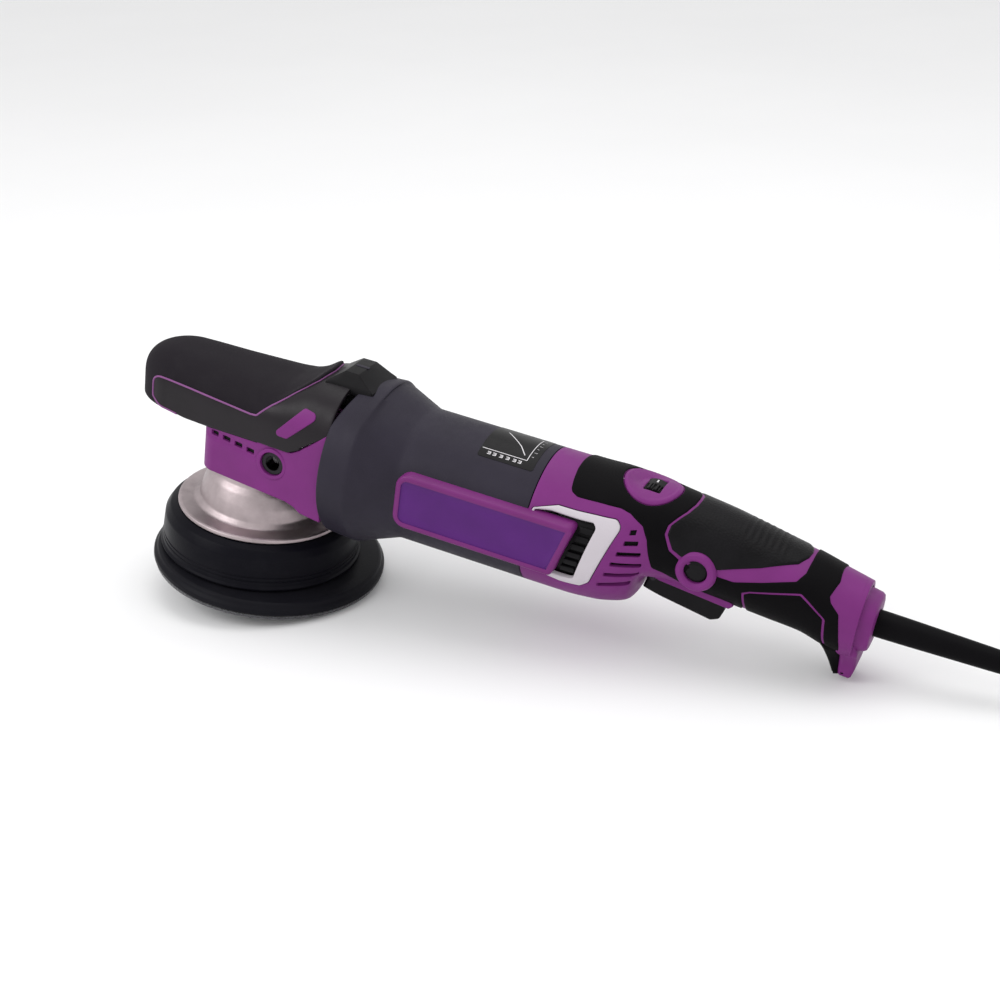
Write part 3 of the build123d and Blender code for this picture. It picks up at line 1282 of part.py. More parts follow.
def build_cord(pose):
    """Cord on the floor: the lead from the guard, the coil, its tie and the plug."""
    exit_point = (pose * Location((GUARD[1], 0, CORD_Z))).position
    direction = (pose * Location((GUARD[1] + 1, 0, CORD_Z))).position - exit_point
    route = [tuple(exit_point), tuple(exit_point + direction * 22)] + CORD_ROUTE
    radii = bend_radii(route)
    print("cord exit", [round(v, 2) for v in exit_point], "direction", [round(v, 4) for v in direction])
    print("cord radii", [round(r, 1) for r in radii])
    with BuildPart() as lead:
        with BuildLine() as path:
            FilletPolyline(*route, radius=radii)
        with BuildSketch(Plane(origin=exit_point, z_dir=direction)):
            Circle(CORD_R)
        sweep()
    length = sum(edge.length for edge in path.line.edges())
    print("lead length", round(length, 1), "volume over section",
          round(lead.part.volume / (pi * CORD_R ** 2 * length), 4))
    keep("cord_lead", lead, cord_pieces)

    (cx, cy), inner, outer, low, high = COIL
    with BuildPart() as coil:
        with BuildSketch(Plane.XY.offset(low)):
            with Locations((cx, cy)):
                Circle(outer)
                Circle(inner, mode=Mode.SUBTRACT)
        extrude(amount=high - low)
        fillet(coil.edges(), CORD_R - 0.2)
    keep("cord_coil", coil, cord_pieces)

    with BuildPart() as tie:
        with BuildSketch(Plane.XZ.offset(-cy - 7)):
            middle = cx + (inner + outer) / 2
            with Locations((middle, (low + high) / 2)):
                Rectangle(outer - inner + 2 * TIE_T + 2.4, high - low + 2 * TIE_T)
                Rectangle(outer - inner + 2.4, high - low, mode=Mode.SUBTRACT)
        extrude(amount=14)
    keep("coil_tie", tie, cord_pieces)

    axis_z, axis_y = PLUG_AXIS
    with BuildPart() as plug:
        with BuildSketch(Plane.YZ.offset(PLUG_X[0])):
            with Locations((axis_y, axis_z)):
                Circle(CORD_R)
        extrude(amount=PLUG_X[1] - PLUG_X[0])
        with BuildSketch(Plane.YZ.offset(PLUG_X[1])):
            with Locations((axis_y, axis_z)):
                Circle(CORD_R + 0.6)
        with BuildSketch(Plane.YZ.offset(PLUG_X[2])):
            with Locations((axis_y, axis_z)):
                RectangleRounded(20, 16, 5)
        loft()
        with BuildSketch(Plane.YZ.offset(PLUG_X[2])):
            with Locations((axis_y, axis_z)):
                RectangleRounded(20, 16, 5)
        with BuildSketch(Plane.YZ.offset(PLUG_X[3])):
            with Locations((axis_y, axis_z)):
                RectangleRounded(35, 22, 8)
        loft()
        with BuildSketch(Plane.YZ.offset(PLUG_X[3])):
            with Locations((axis_y - 9.5, axis_z), (axis_y + 9.5, axis_z)):
                Circle(2.4)
        extrude(amount=-19)
    keep("mains_plug", plug, cord_pieces)


def build_all():
    build_plate()
    build_orbit()
    build_gears()
    build_gear_case()
    build_head_shells()
    build_shroud()
    build_housing()
    build_panels()
    build_motor()
    build_handle()
    build_controls()
    build_cord_entry()
    pose = rest_pose()
    lead_in = dict(cord_pieces)
    build_cord(pose)
    os.makedirs("parts", exist_ok=True)
    for label, part in list(pieces.items()) + list(cord_pieces.items()):
        in_tool_frame = label in pieces or label in lead_in
        placed = pose * part if in_tool_frame else part
        placed.label = label
        export_step(placed, f"parts/{label}.step")
    return pose


POSE = build_all()
print("tilt", round(rest_tilt(), 4), "shift", [round(v, 4) for v in POSE.position])
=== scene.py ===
import bpy
import json
import numpy as np
from math import atan2, cos, degrees, hypot, pi, radians, sin, tan
from mathutils import Matrix, Vector
from mathutils.geometry import delaunay_2d_cdt


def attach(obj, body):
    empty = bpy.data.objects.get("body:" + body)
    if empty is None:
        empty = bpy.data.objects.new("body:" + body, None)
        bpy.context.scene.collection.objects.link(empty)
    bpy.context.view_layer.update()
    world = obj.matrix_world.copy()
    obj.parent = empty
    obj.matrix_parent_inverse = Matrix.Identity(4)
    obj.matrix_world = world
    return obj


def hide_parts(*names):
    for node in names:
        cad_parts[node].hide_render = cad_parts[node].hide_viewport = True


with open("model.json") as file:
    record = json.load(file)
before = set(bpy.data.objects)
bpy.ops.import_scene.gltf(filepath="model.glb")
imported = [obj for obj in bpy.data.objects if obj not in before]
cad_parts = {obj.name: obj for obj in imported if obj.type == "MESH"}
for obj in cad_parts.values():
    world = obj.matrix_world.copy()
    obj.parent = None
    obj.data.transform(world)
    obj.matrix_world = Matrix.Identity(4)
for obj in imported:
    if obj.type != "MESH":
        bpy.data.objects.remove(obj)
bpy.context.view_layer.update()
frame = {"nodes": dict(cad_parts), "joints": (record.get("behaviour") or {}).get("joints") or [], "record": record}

# ---- the tool's own frame -------------------------------------------------------------------
# Shapes are drawn in millimetres in the tool's own frame: origin where the spindle axis
# meets the plate's face, +Z up the spindle, +X along the motor. It leans back at rest.
JOINTS = {joint["name"]: joint for joint in frame["joints"]}
SPINDLE_POINT = 50.0      # height of the spindle joint's point above the plate's face
UP = Vector(JOINTS["spindle_spin"]["axis"]).normalized()
SIDE = Vector((0, 1, 0))
ALONG = SIDE.cross(UP)
ORIGIN = Vector(JOINTS["spindle_spin"]["pos_m"]) - UP * SPINDLE_POINT / 1000
TOOL_AXES = np.array([ALONG, SIDE, UP])


def placed(points):
    """Points of the tool's own frame, in millimetres, in the finished frame in metres."""
    return np.asarray(points, float) @ TOOL_AXES / 1000 + np.array(ORIGIN)


# ---- sizes, as in the CAD source ------------------------------------------------------------
MOTOR_Z = 80.0
BELL_R, BELL_X, BARREL_R, BARREL_END = 43.5, 50.0, 34.5, 159.0
ORBIT, PLATE_R = 6.0, 62.5
SKIRT_R = 45.8
SHROUD_R = 53.0
HEAD_HALF, HEAD_TAPER, NOSE_X = 29.0, 0.115, -49.4
PANEL_Y = 37.0
HANDLE_END, CORD_Z = 323.0, 77.5
BUTTON_X, BUTTON_Z, BUTTON_R, RING_R = 244.0, 86.5, 5.6, 10.3
BUTTON_FACE = 23.2
DIAL_X, DIAL_Z, DIAL_HALF = 211.5, 105.0, 6.0
SOCKET_X, SOCKET_Z = 19.3, 76.0
BLOCK_HALF = 14.0
# x, half width, bottom z, top z of the handle's skin
HANDLE = np.array([
    (BARREL_END, BARREL_R, MOTOR_Z - BARREL_R, MOTOR_Z + BARREL_R),
    (180, 34.5, 45.6, 114.6), (195, 34.0, 47.3, 115.2), (206, 32.0, 51.0, 115.0),
    (214, 29.0, 57.5, 114.6), (222, 25.5, 66.5, 113.7), (235, 23.0, 68.5, 112.5),
    (250, 22.0, 67.6, 110.8), (265, 21.5, 66.4, 108.2), (280, 21.5, 65.5, 105.2),
    (295, 21.3, 64.0, 102.4), (309, 20.4, 59.0, 99.4), (HANDLE_END, 19.0, 57.0, 96.5)])


# ---- small geometry helpers -----------------------------------------------------------------
def eased(x, xs, ys):
    """Smooth monotone curve through the points (xs, ys)."""
    xs, ys = np.asarray(xs, float), np.asarray(ys, float)
    slope = np.diff(ys) / np.diff(xs)
    mean = np.zeros(len(xs))
    mean[0], mean[-1] = slope[0], slope[-1]
    inner = slope[:-1] * slope[1:] > 0
    mean[1:-1][inner] = 2 * slope[:-1][inner] * slope[1:][inner] / (slope[:-1] + slope[1:])[inner]
    x = np.clip(x, xs[0], xs[-1])
    i = np.clip(np.searchsorted(xs, x) - 1, 0, len(xs) - 2)
    step = xs[i + 1] - xs[i]
    t = (x - xs[i]) / step
    return (ys[i] * (1 + 2 * t) * (1 - t) ** 2 + mean[i] * step * t * (1 - t) ** 2
            + ys[i + 1] * t ** 2 * (3 - 2 * t) + mean[i + 1] * step * t ** 2 * (t - 1))


def rounded(points, radius=1.0, closed=True, step=12.0):
    """Polyline with its corners as arcs; a point may carry its own radius as a third value.
    'step' is the turn in degrees between two points of an arc."""
    corners = [(np.array(p[:2], float), p[2] if len(p) > 2 else radius) for p in points]
    count = len(corners)
    out = []
    for i, (corner, size) in enumerate(corners):
        if not closed and i in (0, count - 1):
            out.append(corner)
            continue
        before, after = corners[i - 1][0], corners[(i + 1) % count][0]
        a, b = before - corner, after - corner
        la, lb = np.linalg.norm(a), np.linalg.norm(b)
        a, b = a / la, b / lb
        turn = pi - np.arccos(np.clip(a @ b, -1, 1))
        if turn < 0.02 or size <= 0:
            out.append(corner)
            continue
        cut = min(size * tan(turn / 2), 0.48 * la, 0.48 * lb)
        size = cut / tan(turn / 2)
        bisector = (a + b) / np.linalg.norm(a + b)
        centre = corner + bisector * size / cos(turn / 2)
        start = atan2(*(corner + a * cut - centre)[::-1])
        end = atan2(*(corner + b * cut - centre)[::-1])
        sweep = (end - start + pi) % (2 * pi) - pi
        for k in range(max(2, int(degrees(turn) / step) + 1) + 1):
            angle = start + sweep * k / max(2, int(degrees(turn) / step) + 1)
            out.append(centre + size * np.array((cos(angle), sin(angle))))
    return np.array(out)


def spaced(line, step=1.0, closed=True):
    """The same polyline with no run longer than 'step'."""
    out = []
    ends = list(line) + ([line[0]] if closed else [])
    for a, b in zip(ends, ends[1:]):
        count = max(1, int(np.ceil(hypot(*(b - a)) / step)))
        out += [a + (b - a) * k / count for k in range(count)]
    if not closed:
        out.append(ends[-1])
    return np.array(out)


def area_of(loop):
    x, y = loop[:, 0], loop[:, 1]
    return 0.5 * np.sum(x * np.roll(y, -1) - np.roll(x, -1) * y)


def inward(loop):
    """Unit vectors that point into a counter-clockwise loop at each of its points."""
    ahead, behind = np.roll(loop, -1, 0) - loop, loop - np.roll(loop, 1, 0)
    ahead /= np.linalg.norm(ahead, axis=1)[:, None] + 1e-9
    behind /= np.linalg.norm(behind, axis=1)[:, None] + 1e-9
    mean = ahead + behind
    mean /= np.linalg.norm(mean, axis=1)[:, None] + 1e-9
    return np.c_[-mean[:, 1], mean[:, 0]]


def inside(points, loop):
    """Which points lie inside the loop."""
    hit = np.zeros(len(points), bool)
    for (x0, y0), (x1, y1) in zip(loop, np.roll(loop, -1, 0)):
        if y0 != y1:
            crosses = (points[:, 1] >= y0) != (points[:, 1] >= y1)
            hit ^= crosses & (points[:, 0] < x0 + (points[:, 1] - y0) * (x1 - x0) / (y1 - y0))
    return hit


def distance(points, loop):
    """Distance of each point from the closed loop."""
    best = np.full(len(points), 1e9)
    for a, b in zip(loop, np.roll(loop, -1, 0)):
        run = b - a
        share = np.clip((points - a) @ run / (run @ run + 1e-12), 0, 1)
        best = np.minimum(best, np.linalg.norm(points - a - share[:, None] * run, axis=1))
    return best


def edge(radius, depth, steps=4):
    """Rim profile (inset, height): a wall of 'depth' and a quarter round of 'radius'."""
    rim = [(0.0, -depth)]
    for k in range(steps + 1):
        angle = pi / 2 * k / steps
        rim.append((radius * (1 - cos(angle)), -radius * (1 - sin(angle))))
    return rim


def piece(name, points, faces, body, materials, stands_for=(), slot=None, indices=None,
          crease=35.0):
    """A mesh piece from points in the tool's frame, riding on 'body'."""
    mesh = bpy.data.meshes.new(name)
    mesh.from_pydata(placed(points).tolist(), [], [tuple(int(i) for i in f) for f in faces])
    mesh.update()
    for material in materials:
        mesh.materials.append(material)
    mesh.shade_smooth()
    if indices is not None:
        mesh.polygons.foreach_set("material_index", indices)
    mesh.set_sharp_from_angle(angle=radians(crease))
    thing = bpy.data.objects.new(name, mesh)
    bpy.context.collection.objects.link(thing)
    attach(thing, body)
    if stands_for:
        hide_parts(*stands_for)
    return thing


def patch_mesh(outline, surface, rim, holes=(), spacing=1.6, height=None, field_from=None):
    """Points, faces and material indices of a raised panel on a curved surface.

    The outline and the holes are loops in the surface's own plane; 'rim' lists (inset,
    height) from the outline inwards; 'height' gives the level inside it."""
    outline = outline if area_of(outline) > 0 else outline[::-1]
    loops = [outline] + [hole if area_of(hole) < 0 else hole[::-1] for hole in holes]
    flat, level, faces, kinds, inner = [], [], [], [], []
    for loop in loops:
        into = inward(loop)
        start = len(flat)
        for inset, high in rim:
            ring = loop + into * inset
            flat += list(ring)
            level += [high] * len(ring)
        for k in range(len(rim) - 1):
            for i in range(len(loop)):
                j = (i + 1) % len(loop)
                a, b = start + k * len(loop), start + (k + 1) * len(loop)
                faces.append((a + i, a + j, b + j, b + i))
                kinds.append(1 if field_from is not None and k >= field_from else 0)
        first = start + (len(rim) - 1) * len(loop)
        inner.append(list(range(first, first + len(loop))))
    last = [np.array([flat[i] for i in ring]) for ring in inner]
    low, high = last[0].min(0), last[0].max(0)
    rows = np.arange(low[1] + spacing / 2, high[1], spacing * 0.87)
    grid = np.array([(x + (spacing / 2 if n % 2 else 0), y) for n, y in enumerate(rows)
                     for x in np.arange(low[0] + spacing / 2, high[0], spacing)])
    if len(grid):
        keep = inside(grid, last[0]) & (distance(grid, last[0]) > 0.45 * spacing)
        for ring in last[1:]:
            keep &= ~inside(grid, ring) & (distance(grid, ring) > 0.45 * spacing)
        grid = grid[keep]
    numbers = [i for ring in inner for i in ring]
    base = len(flat)
    top = rim[-1][1]
    flat += list(grid)
    level += [top] * len(grid)
    points2 = [Vector(flat[i]) for i in numbers] + [Vector(p) for p in grid]
    edges, start = [], 0
    for ring in inner:
        edges += [(start + i, start + (i + 1) % len(ring)) for i in range(len(ring))]
        start += len(ring)
    found = delaunay_2d_cdt(points2, edges, [], 0, 1e-7, True)
    lookup = [(numbers[o[0]] if o[0] < len(numbers) else base + o[0] - len(numbers)) if o
              else -1 for o in found[3]]
    corners = np.array([[lookup[i] for i in triangle] for triangle in found[2]])
    corners = corners[corners.min(1) >= 0]
    places = np.array(flat)[corners]
    middle = places.mean(1)
    keep = inside(middle, last[0])
    for ring in last[1:]:
        keep &= ~inside(middle, ring)
    u, v = places[:, 1] - places[:, 0], places[:, 2] - places[:, 0]
    turn = u[:, 0] * v[:, 1] - u[:, 1] * v[:, 0]
    keep &= np.abs(turn) > 1e-7
    corners[turn < 0] = corners[turn < 0][:, ::-1]
    faces += [tuple(int(i) for i in triangle) for triangle in corners[keep]]
    kinds += [1 if field_from is not None else 0] * int(keep.sum())
    flat, level = np.array(flat), np.array(level, float)
    if height is not None:
        level = level + height(flat)
    return surface(flat[:, 0], flat[:, 1], level), faces, kinds


def joined(*meshes):
    """One set of points and faces from several."""
    points, faces, kinds = [], [], []
    for mesh in meshes:
        base = sum(len(p) for p in points)
        points.append(np.asarray(mesh[0]))
        faces += [tuple(i + base for i in face) for face in mesh[1]]
        kinds += list(mesh[2]) if len(mesh) > 2 else [0] * len(mesh[1])
    return np.vstack(points), faces, kinds


def mirrored(mesh):
    """The same mesh on the other side of the middle plane."""
    points = np.array(mesh[0]) * (1, -1, 1)
    return (points, [tuple(reversed(face)) for face in mesh[1]], *mesh[2:])


def both_sides(mesh):
    return joined(mesh, mirrored(mesh))


def grid_faces(rows, columns, wrap=False):
    """Quads of a grid of points stored row by row; 'wrap' closes each row on itself."""
    faces = []
    for r in range(rows - 1):
        for c in range(columns if wrap else columns - 1):
            d = (c + 1) % columns
            faces.append((r * columns + c, r * columns + d,
                          (r + 1) * columns + d, (r + 1) * columns + c))
    return faces


def turned(profile, centre=(0.0, 0.0), upright=True, count=144):
    """Solid of revolution of a closed (radius, height) profile, about an upright axis
    through (x, y), or about the motor's axis when upright is False."""
    around = 2 * pi * np.arange(count) / count
    points = []
    for r, h in profile:
        c, s = r * np.cos(around), r * np.sin(around)
        if upright:
            points.append(np.c_[centre[0] + c, centre[1] + s, np.full(count, h)])
        else:
            points.append(np.c_[np.full(count, h), c + centre[0], s + centre[1]])
    faces = grid_faces(len(profile), count, wrap=True)
    last = (len(profile) - 1) * count
    faces += [(last + c, last + (c + 1) % count, (c + 1) % count, c) for c in range(count)]
    if not upright:
        faces = [tuple(reversed(face)) for face in faces]
    if area_of(np.array(profile)) < 0:
        faces = [tuple(reversed(face)) for face in faces]
    return np.vstack(points), faces, [0] * len(faces)


def slab_mesh(outline, low, high, radius, across=None, steps=4, spacing=3.0):
    """Closed slab between two distances from the middle plane, with rounded edges.

    The outline is in x and z. 'across' bends it: it maps (x, z, y) to the real y."""
    outline = outline if area_of(outline) > 0 else outline[::-1]
    rim = edge(radius, (high - low) / 2, steps)
    middle = (high + low) / 2
    half = (high - low) / 2

    def face(sign):
        def surface(x, z, level):
            y = middle + sign * (half + level)
            if across is not None:
                y = across(x, z, y)
            return np.c_[x, y, z]
        mesh = patch_mesh(outline, surface, rim, spacing=spacing)
        if sign > 0:
            return mesh[0], [tuple(reversed(f)) for f in mesh[1]], mesh[2]
        return mesh
    return joined(face(-1), face(1))


def tube_mesh(path, radius, sides=10, ends=True):
    """Round bead along an open path of 3-D points."""
    path = np.asarray(path, float)
    ahead = np.gradient(path, axis=0)
    ahead /= np.linalg.norm(ahead, axis=1)[:, None]
    across = np.cross(ahead, (0.31, 0.77, 0.55))
    across /= np.linalg.norm(across, axis=1)[:, None]
    other = np.cross(ahead, across)
    radius = np.broadcast_to(radius, len(path))
    points = []
    for p, a, b, r in zip(path, across, other, radius):
        for k in range(sides):
            angle = 2 * pi * k / sides
            points.append(p + r * (cos(angle) * a + sin(angle) * b))
    faces = grid_faces(len(path), sides, wrap=True)
    if ends:
        last = (len(path) - 1) * sides
        faces += [tuple(range(sides))[::-1], tuple(last + k for k in range(sides))]
    return np.array(points), [tuple(reversed(f)) for f in faces], [0] * len(faces)


# ---- materials ------------------------------------------------------------------------------
def shader(name, colour, rough, specular=0.5, metallic=0.0, coat=0.0, coat_rough=0.1, sheen=0.0):
    """A Principled material and handles for adding detail to it."""
    material = bpy.data.materials.new(name)
    material.use_nodes = True
    nodes, links = material.node_tree.nodes, material.node_tree.links
    base = nodes["Principled BSDF"]
    base.inputs["Base Color"].default_value = (*colour, 1)
    base.inputs["Roughness"].default_value = rough
    base.inputs["Specular IOR Level"].default_value = specular
    base.inputs["Metallic"].default_value = metallic
    base.inputs["Coat Weight"].default_value = coat
    base.inputs["Coat Roughness"].default_value = coat_rough
    base.inputs["Sheen Weight"].default_value = sheen
    place = nodes.new("ShaderNodeTexCoord")
    return material, nodes, links, base, place.outputs["Object"]


def noise(nodes, links, place, scale, detail=4.0, rough=0.55, stretch=None):
    """Output of a noise texture with 'scale' cells to the metre."""
    source = place
    if stretch:
        mapping = nodes.new("ShaderNodeMapping")
        mapping.inputs["Scale"].default_value = stretch
        links.new(place, mapping.inputs["Vector"])
        source = mapping.outputs["Vector"]
    texture = nodes.new("ShaderNodeTexNoise")
    texture.inputs["Scale"].default_value = scale
    texture.inputs["Detail"].default_value = detail
    texture.inputs["Roughness"].default_value = rough
    links.new(source, texture.inputs["Vector"])
    return texture.outputs["Fac"]


def ranged(nodes, links, value, low, high, from_low=0.3, from_high=0.7):
    """'value' mapped to a range of numbers."""
    node = nodes.new("ShaderNodeMapRange")
    node.inputs["From Min"].default_value = from_low
    node.inputs["From Max"].default_value = from_high
    node.inputs["To Min"].default_value = low
    node.inputs["To Max"].default_value = high
    links.new(value, node.inputs["Value"])
    return node.outputs["Result"]


def two_tone(nodes, links, value, first, second, low=0.35, high=0.65):
    """Colour that goes from 'first' to 'second' with 'value'."""
    ramp = nodes.new("ShaderNodeValToRGB")
    ramp.color_ramp.elements[0].position = low
    ramp.color_ramp.elements[0].color = (*first, 1)
    ramp.color_ramp.elements[1].position = high
    ramp.color_ramp.elements[1].color = (*second, 1)
    links.new(value, ramp.inputs["Fac"])
    return ramp.outputs["Color"]


def bump(nodes, links, base, value, depth, strength=1.0, under=None):
    """Relief of 'depth' metres on the shader; returns the normal."""
    node = nodes.new("ShaderNodeBump")
    node.inputs["Strength"].default_value = strength
    node.inputs["Distance"].default_value = depth
    links.new(value, node.inputs["Height"])
    if under is not None:
        links.new(under, node.inputs["Normal"])
    links.new(node.outputs["Normal"], base.inputs["Normal"])
    return node.outputs["Normal"]


def moulded(name, colour, rough, grain=2600, relief=0.00003, spread=0.05, tint=0.12,
            specular=0.5, coat=0.0, coat_rough=0.25):
    """Injection-moulded plastic: fine spark-eroded grain, faint flow marks, uneven gloss."""
    material, nodes, links, base, place = shader(name, colour, rough, specular, coat=coat,
                                                 coat_rough=coat_rough)
    flow = noise(nodes, links, place, 38, 3.0)
    dark = tuple(c * (1 - tint) for c in colour)
    light = tuple(min(1, c * (1 + tint)) for c in colour)
    links.new(two_tone(nodes, links, flow, dark, light), base.inputs["Base Color"])
    gloss = noise(nodes, links, place, 210, 5.0)
    links.new(ranged(nodes, links, gloss, rough - spread, rough + spread),
              base.inputs["Roughness"])
    fine = noise(nodes, links, place, grain, 2.0)
    bump(nodes, links, base, fine, relief)
    return material


def soft_rubber(name, colour, rough, grain=3400, relief=0.00005, dust=0.03, sheen=0.15):
    """Soft-touch rubber: close pores, a dull sheen, a trace of dust in patches."""
    material, nodes, links, base, place = shader(name, colour, rough, 0.05, sheen=sheen)
    base.inputs["Sheen Roughness"].default_value = 0.5
    patches = noise(nodes, links, place, 55, 6.0, 0.65)
    dusty = tuple(c + dust for c in colour)
    links.new(two_tone(nodes, links, patches, colour, dusty, 0.45, 0.85),
              base.inputs["Base Color"])
    links.new(ranged(nodes, links, patches, rough - 0.05, rough + 0.08),
              base.inputs["Roughness"])
    pores = nodes.new("ShaderNodeTexVoronoi")
    pores.inputs["Scale"].default_value = grain / 2
    links.new(place, pores.inputs["Vector"])
    first = bump(nodes, links, base, pores.outputs["Distance"], relief * 0.7)
    bump(nodes, links, base, noise(nodes, links, place, grain, 2.0), relief, under=first)
    return material


def leathered(name, colour, rough):
    """Rubber grip with a leather-like skin."""
    material, nodes, links, base, place = shader(name, colour, rough, 0.1)
    cells = nodes.new("ShaderNodeTexVoronoi")
    cells.inputs["Scale"].default_value = 820
    cells.inputs["Randomness"].default_value = 0.9
    links.new(place, cells.inputs["Vector"])
    worn = noise(nodes, links, place, 70, 5.0)
    links.new(two_tone(nodes, links, worn, colour, tuple(c * 1.9 for c in colour), 0.4, 0.75),
              base.inputs["Base Color"])
    links.new(ranged(nodes, links, worn, rough - 0.08, rough + 0.06), base.inputs["Roughness"])
    first = bump(nodes, links, base, cells.outputs["Distance"], 0.00016, 0.8)
    bump(nodes, links, base, noise(nodes, links, place, 2400, 2.0), 0.00003, under=first)
    return material


def cast_metal(name, colour, rough, grain=900, relief=0.00009):
    """Cast aluminium, blasted: fine pits and cloudy tone."""
    material, nodes, links, base, place = shader(name, colour, rough, 0.5, metallic=1.0)
    cloud = noise(nodes, links, place, 46, 6.0, 0.6)
    links.new(two_tone(nodes, links, cloud, tuple(c * 0.82 for c in colour),
                       tuple(min(1, c * 1.12) for c in colour)), base.inputs["Base Color"])
    links.new(ranged(nodes, links, noise(nodes, links, place, 300, 5.0), rough - 0.07,
                     rough + 0.07), base.inputs["Roughness"])
    bump(nodes, links, base, noise(nodes, links, place, grain, 6.0, 0.7), relief, 0.7)
    return material


def ground_metal(name, colour, rough, stretch=(1, 1, 26)):
    """Turned or ground metal with fine lines."""
    material, nodes, links, base, place = shader(name, colour, rough, 0.5, metallic=1.0)
    lines = noise(nodes, links, place, 420, 3.0, 0.6, stretch)
    links.new(two_tone(nodes, links, lines, tuple(c * 0.86 for c in colour), colour),
              base.inputs["Base Color"])
    links.new(ranged(nodes, links, lines, rough - 0.06, rough + 0.08), base.inputs["Roughness"])
    bump(nodes, links, base, lines, 0.00002, 0.6)
    return material


def woven(name, colour):
    """Loop fabric: short raised threads."""
    material, nodes, links, base, place = shader(name, colour, 0.9, 0.2, sheen=0.4)
    loops = nodes.new("ShaderNodeTexVoronoi")
    loops.inputs["Scale"].default_value = 900
    links.new(place, loops.inputs["Vector"])
    links.new(two_tone(nodes, links, loops.outputs["Distance"], tuple(c * 0.5 for c in colour),
                       tuple(c * 1.6 for c in colour), 0.1, 0.7), base.inputs["Base Color"])
    bump(nodes, links, base, loops.outputs["Distance"], 0.0004)
    return material


PURPLE_COLOUR = (0.168, 0.023, 0.163)
PURPLE = moulded("purple plastic", PURPLE_COLOUR, 0.46, relief=0.00002, tint=0.06,
                 specular=0.15)
# Lighter than the purple plastic: painted highlight for the light the thin bead catches.
PURPLE_LINE_HIGHLIGHT = moulded("purple line", (0.21, 0.07, 0.21), 0.5, relief=0.00001, tint=0.05,
                      specular=0.2)
VIOLET = moulded("violet panel", (0.074, 0.008, 0.14), 0.42, relief=0.000012, tint=0.08,
                 specular=0.22)
RIM = moulded("panel rim", (0.15, 0.017, 0.14), 0.42, relief=0.000012, tint=0.05,
              specular=0.22)
GREY = moulded("housing plastic", (0.021, 0.0178, 0.0285), 0.5, grain=1900, relief=0.00005,
               tint=0.1, specular=0.15)
BLACK = moulded("black plastic", (0.0055, 0.005, 0.006), 0.42, relief=0.00002, tint=0.2,
               specular=0.12)
DECK = moulded("deck plastic", (0.008, 0.0055, 0.008), 0.4, grain=1900, relief=0.00004,
               tint=0.15, specular=0.22)
WHITE = moulded("white plastic", (0.53, 0.49, 0.53), 0.42, relief=0.000012, tint=0.03,
                specular=0.3)
PALM = soft_rubber("palm rubber", (0.0145, 0.0122, 0.0155), 0.66, dust=0.006, sheen=0.0)
RUBBER = soft_rubber("handle rubber", (0.0024, 0.002, 0.0026), 0.52, dust=0.002, sheen=0.0)
GRIP = leathered("grip rubber", (0.0036, 0.0033, 0.004), 0.42)
SHROUD = soft_rubber("shroud rubber", (0.005, 0.0048, 0.0075), 0.34, grain=1500,
                     relief=0.00003, dust=0.004, sheen=0.0)
PAD = soft_rubber("pad rubber", (0.008, 0.0078, 0.0105), 0.38, grain=1700, relief=0.00004,
                  dust=0.003, sheen=0.0)
CAST = cast_metal("cast aluminium", (0.43, 0.365, 0.375), 0.42)
# Dark steel; on the side handle inserts its darkness is painted shade for the deep socket holes.
DARK_STEEL_AND_HOLE_SHADE = ground_metal("dark steel and painted hole shade", (0.03, 0.028, 0.032), 0.35)
STEEL = ground_metal("ground steel", (0.5, 0.5, 0.52), 0.32)
ZINC = ground_metal("plated steel", (0.62, 0.61, 0.6), 0.26)
COPPER = ground_metal("copper wire", (0.7, 0.31, 0.13), 0.38, (1, 1, 8))
LAMINATED = ground_metal("laminated steel", (0.22, 0.22, 0.23), 0.5, (60, 1, 1))
FIBRE = moulded("reinforced nylon", (0.09, 0.075, 0.06), 0.6, relief=0.0001, tint=0.3)
CARBON = moulded("carbon", (0.02, 0.02, 0.021), 0.6, relief=0.0001, tint=0.3)
BOARD = moulded("circuit board", (0.02, 0.09, 0.035), 0.4, tint=0.3)
CORD = soft_rubber("cord rubber", (0.0032, 0.0028, 0.0036), 0.48, grain=2200,
                   relief=0.00003, dust=0.0012, sheen=0.0)
HOOK = woven("loop fabric", (0.05, 0.05, 0.055))
INK = moulded("label ink", (0.62, 0.6, 0.62), 0.5, tint=0.05)
LABEL = moulded("label film", (0.005, 0.0045, 0.0052), 0.34, relief=0.000006, tint=0.1,
                specular=0.14)

SLOT_LOOKS = {
    "purple": PURPLE, "panel": VIOLET, "housing_grey": GREY, "black_plastic": BLACK,
    "soft_black": RUBBER, "white_plastic": WHITE, "cast": CAST, "steel": STEEL, "zinc": ZINC,
    "copper": COPPER, "core_steel": LAMINATED, "board": BOARD, "carbon": CARBON,
    "pad_foam": PAD, "hook": HOOK, "fibre": FIBRE, "cord": CORD}


def dress_frame():
    """Every CAD node takes the look of its material slot."""
    for part in frame["record"]["subparts"]:
        thing = frame["nodes"][part["node"]]
        thing.data.materials.clear()
        thing.data.materials.append(SLOT_LOOKS[part["material_slot"]])
    # The side handle inserts take the dark steel as painted shade: the socket holes are dark from shade, not from
    # the inserts' own colour.
    for name in ("side_handle_inserts", "trigger_pin"):
        frame["nodes"][name].data.materials[0] = DARK_STEEL_AND_HOLE_SHADE
    frame["nodes"]["coil_tie"].data.materials[0] = BLACK


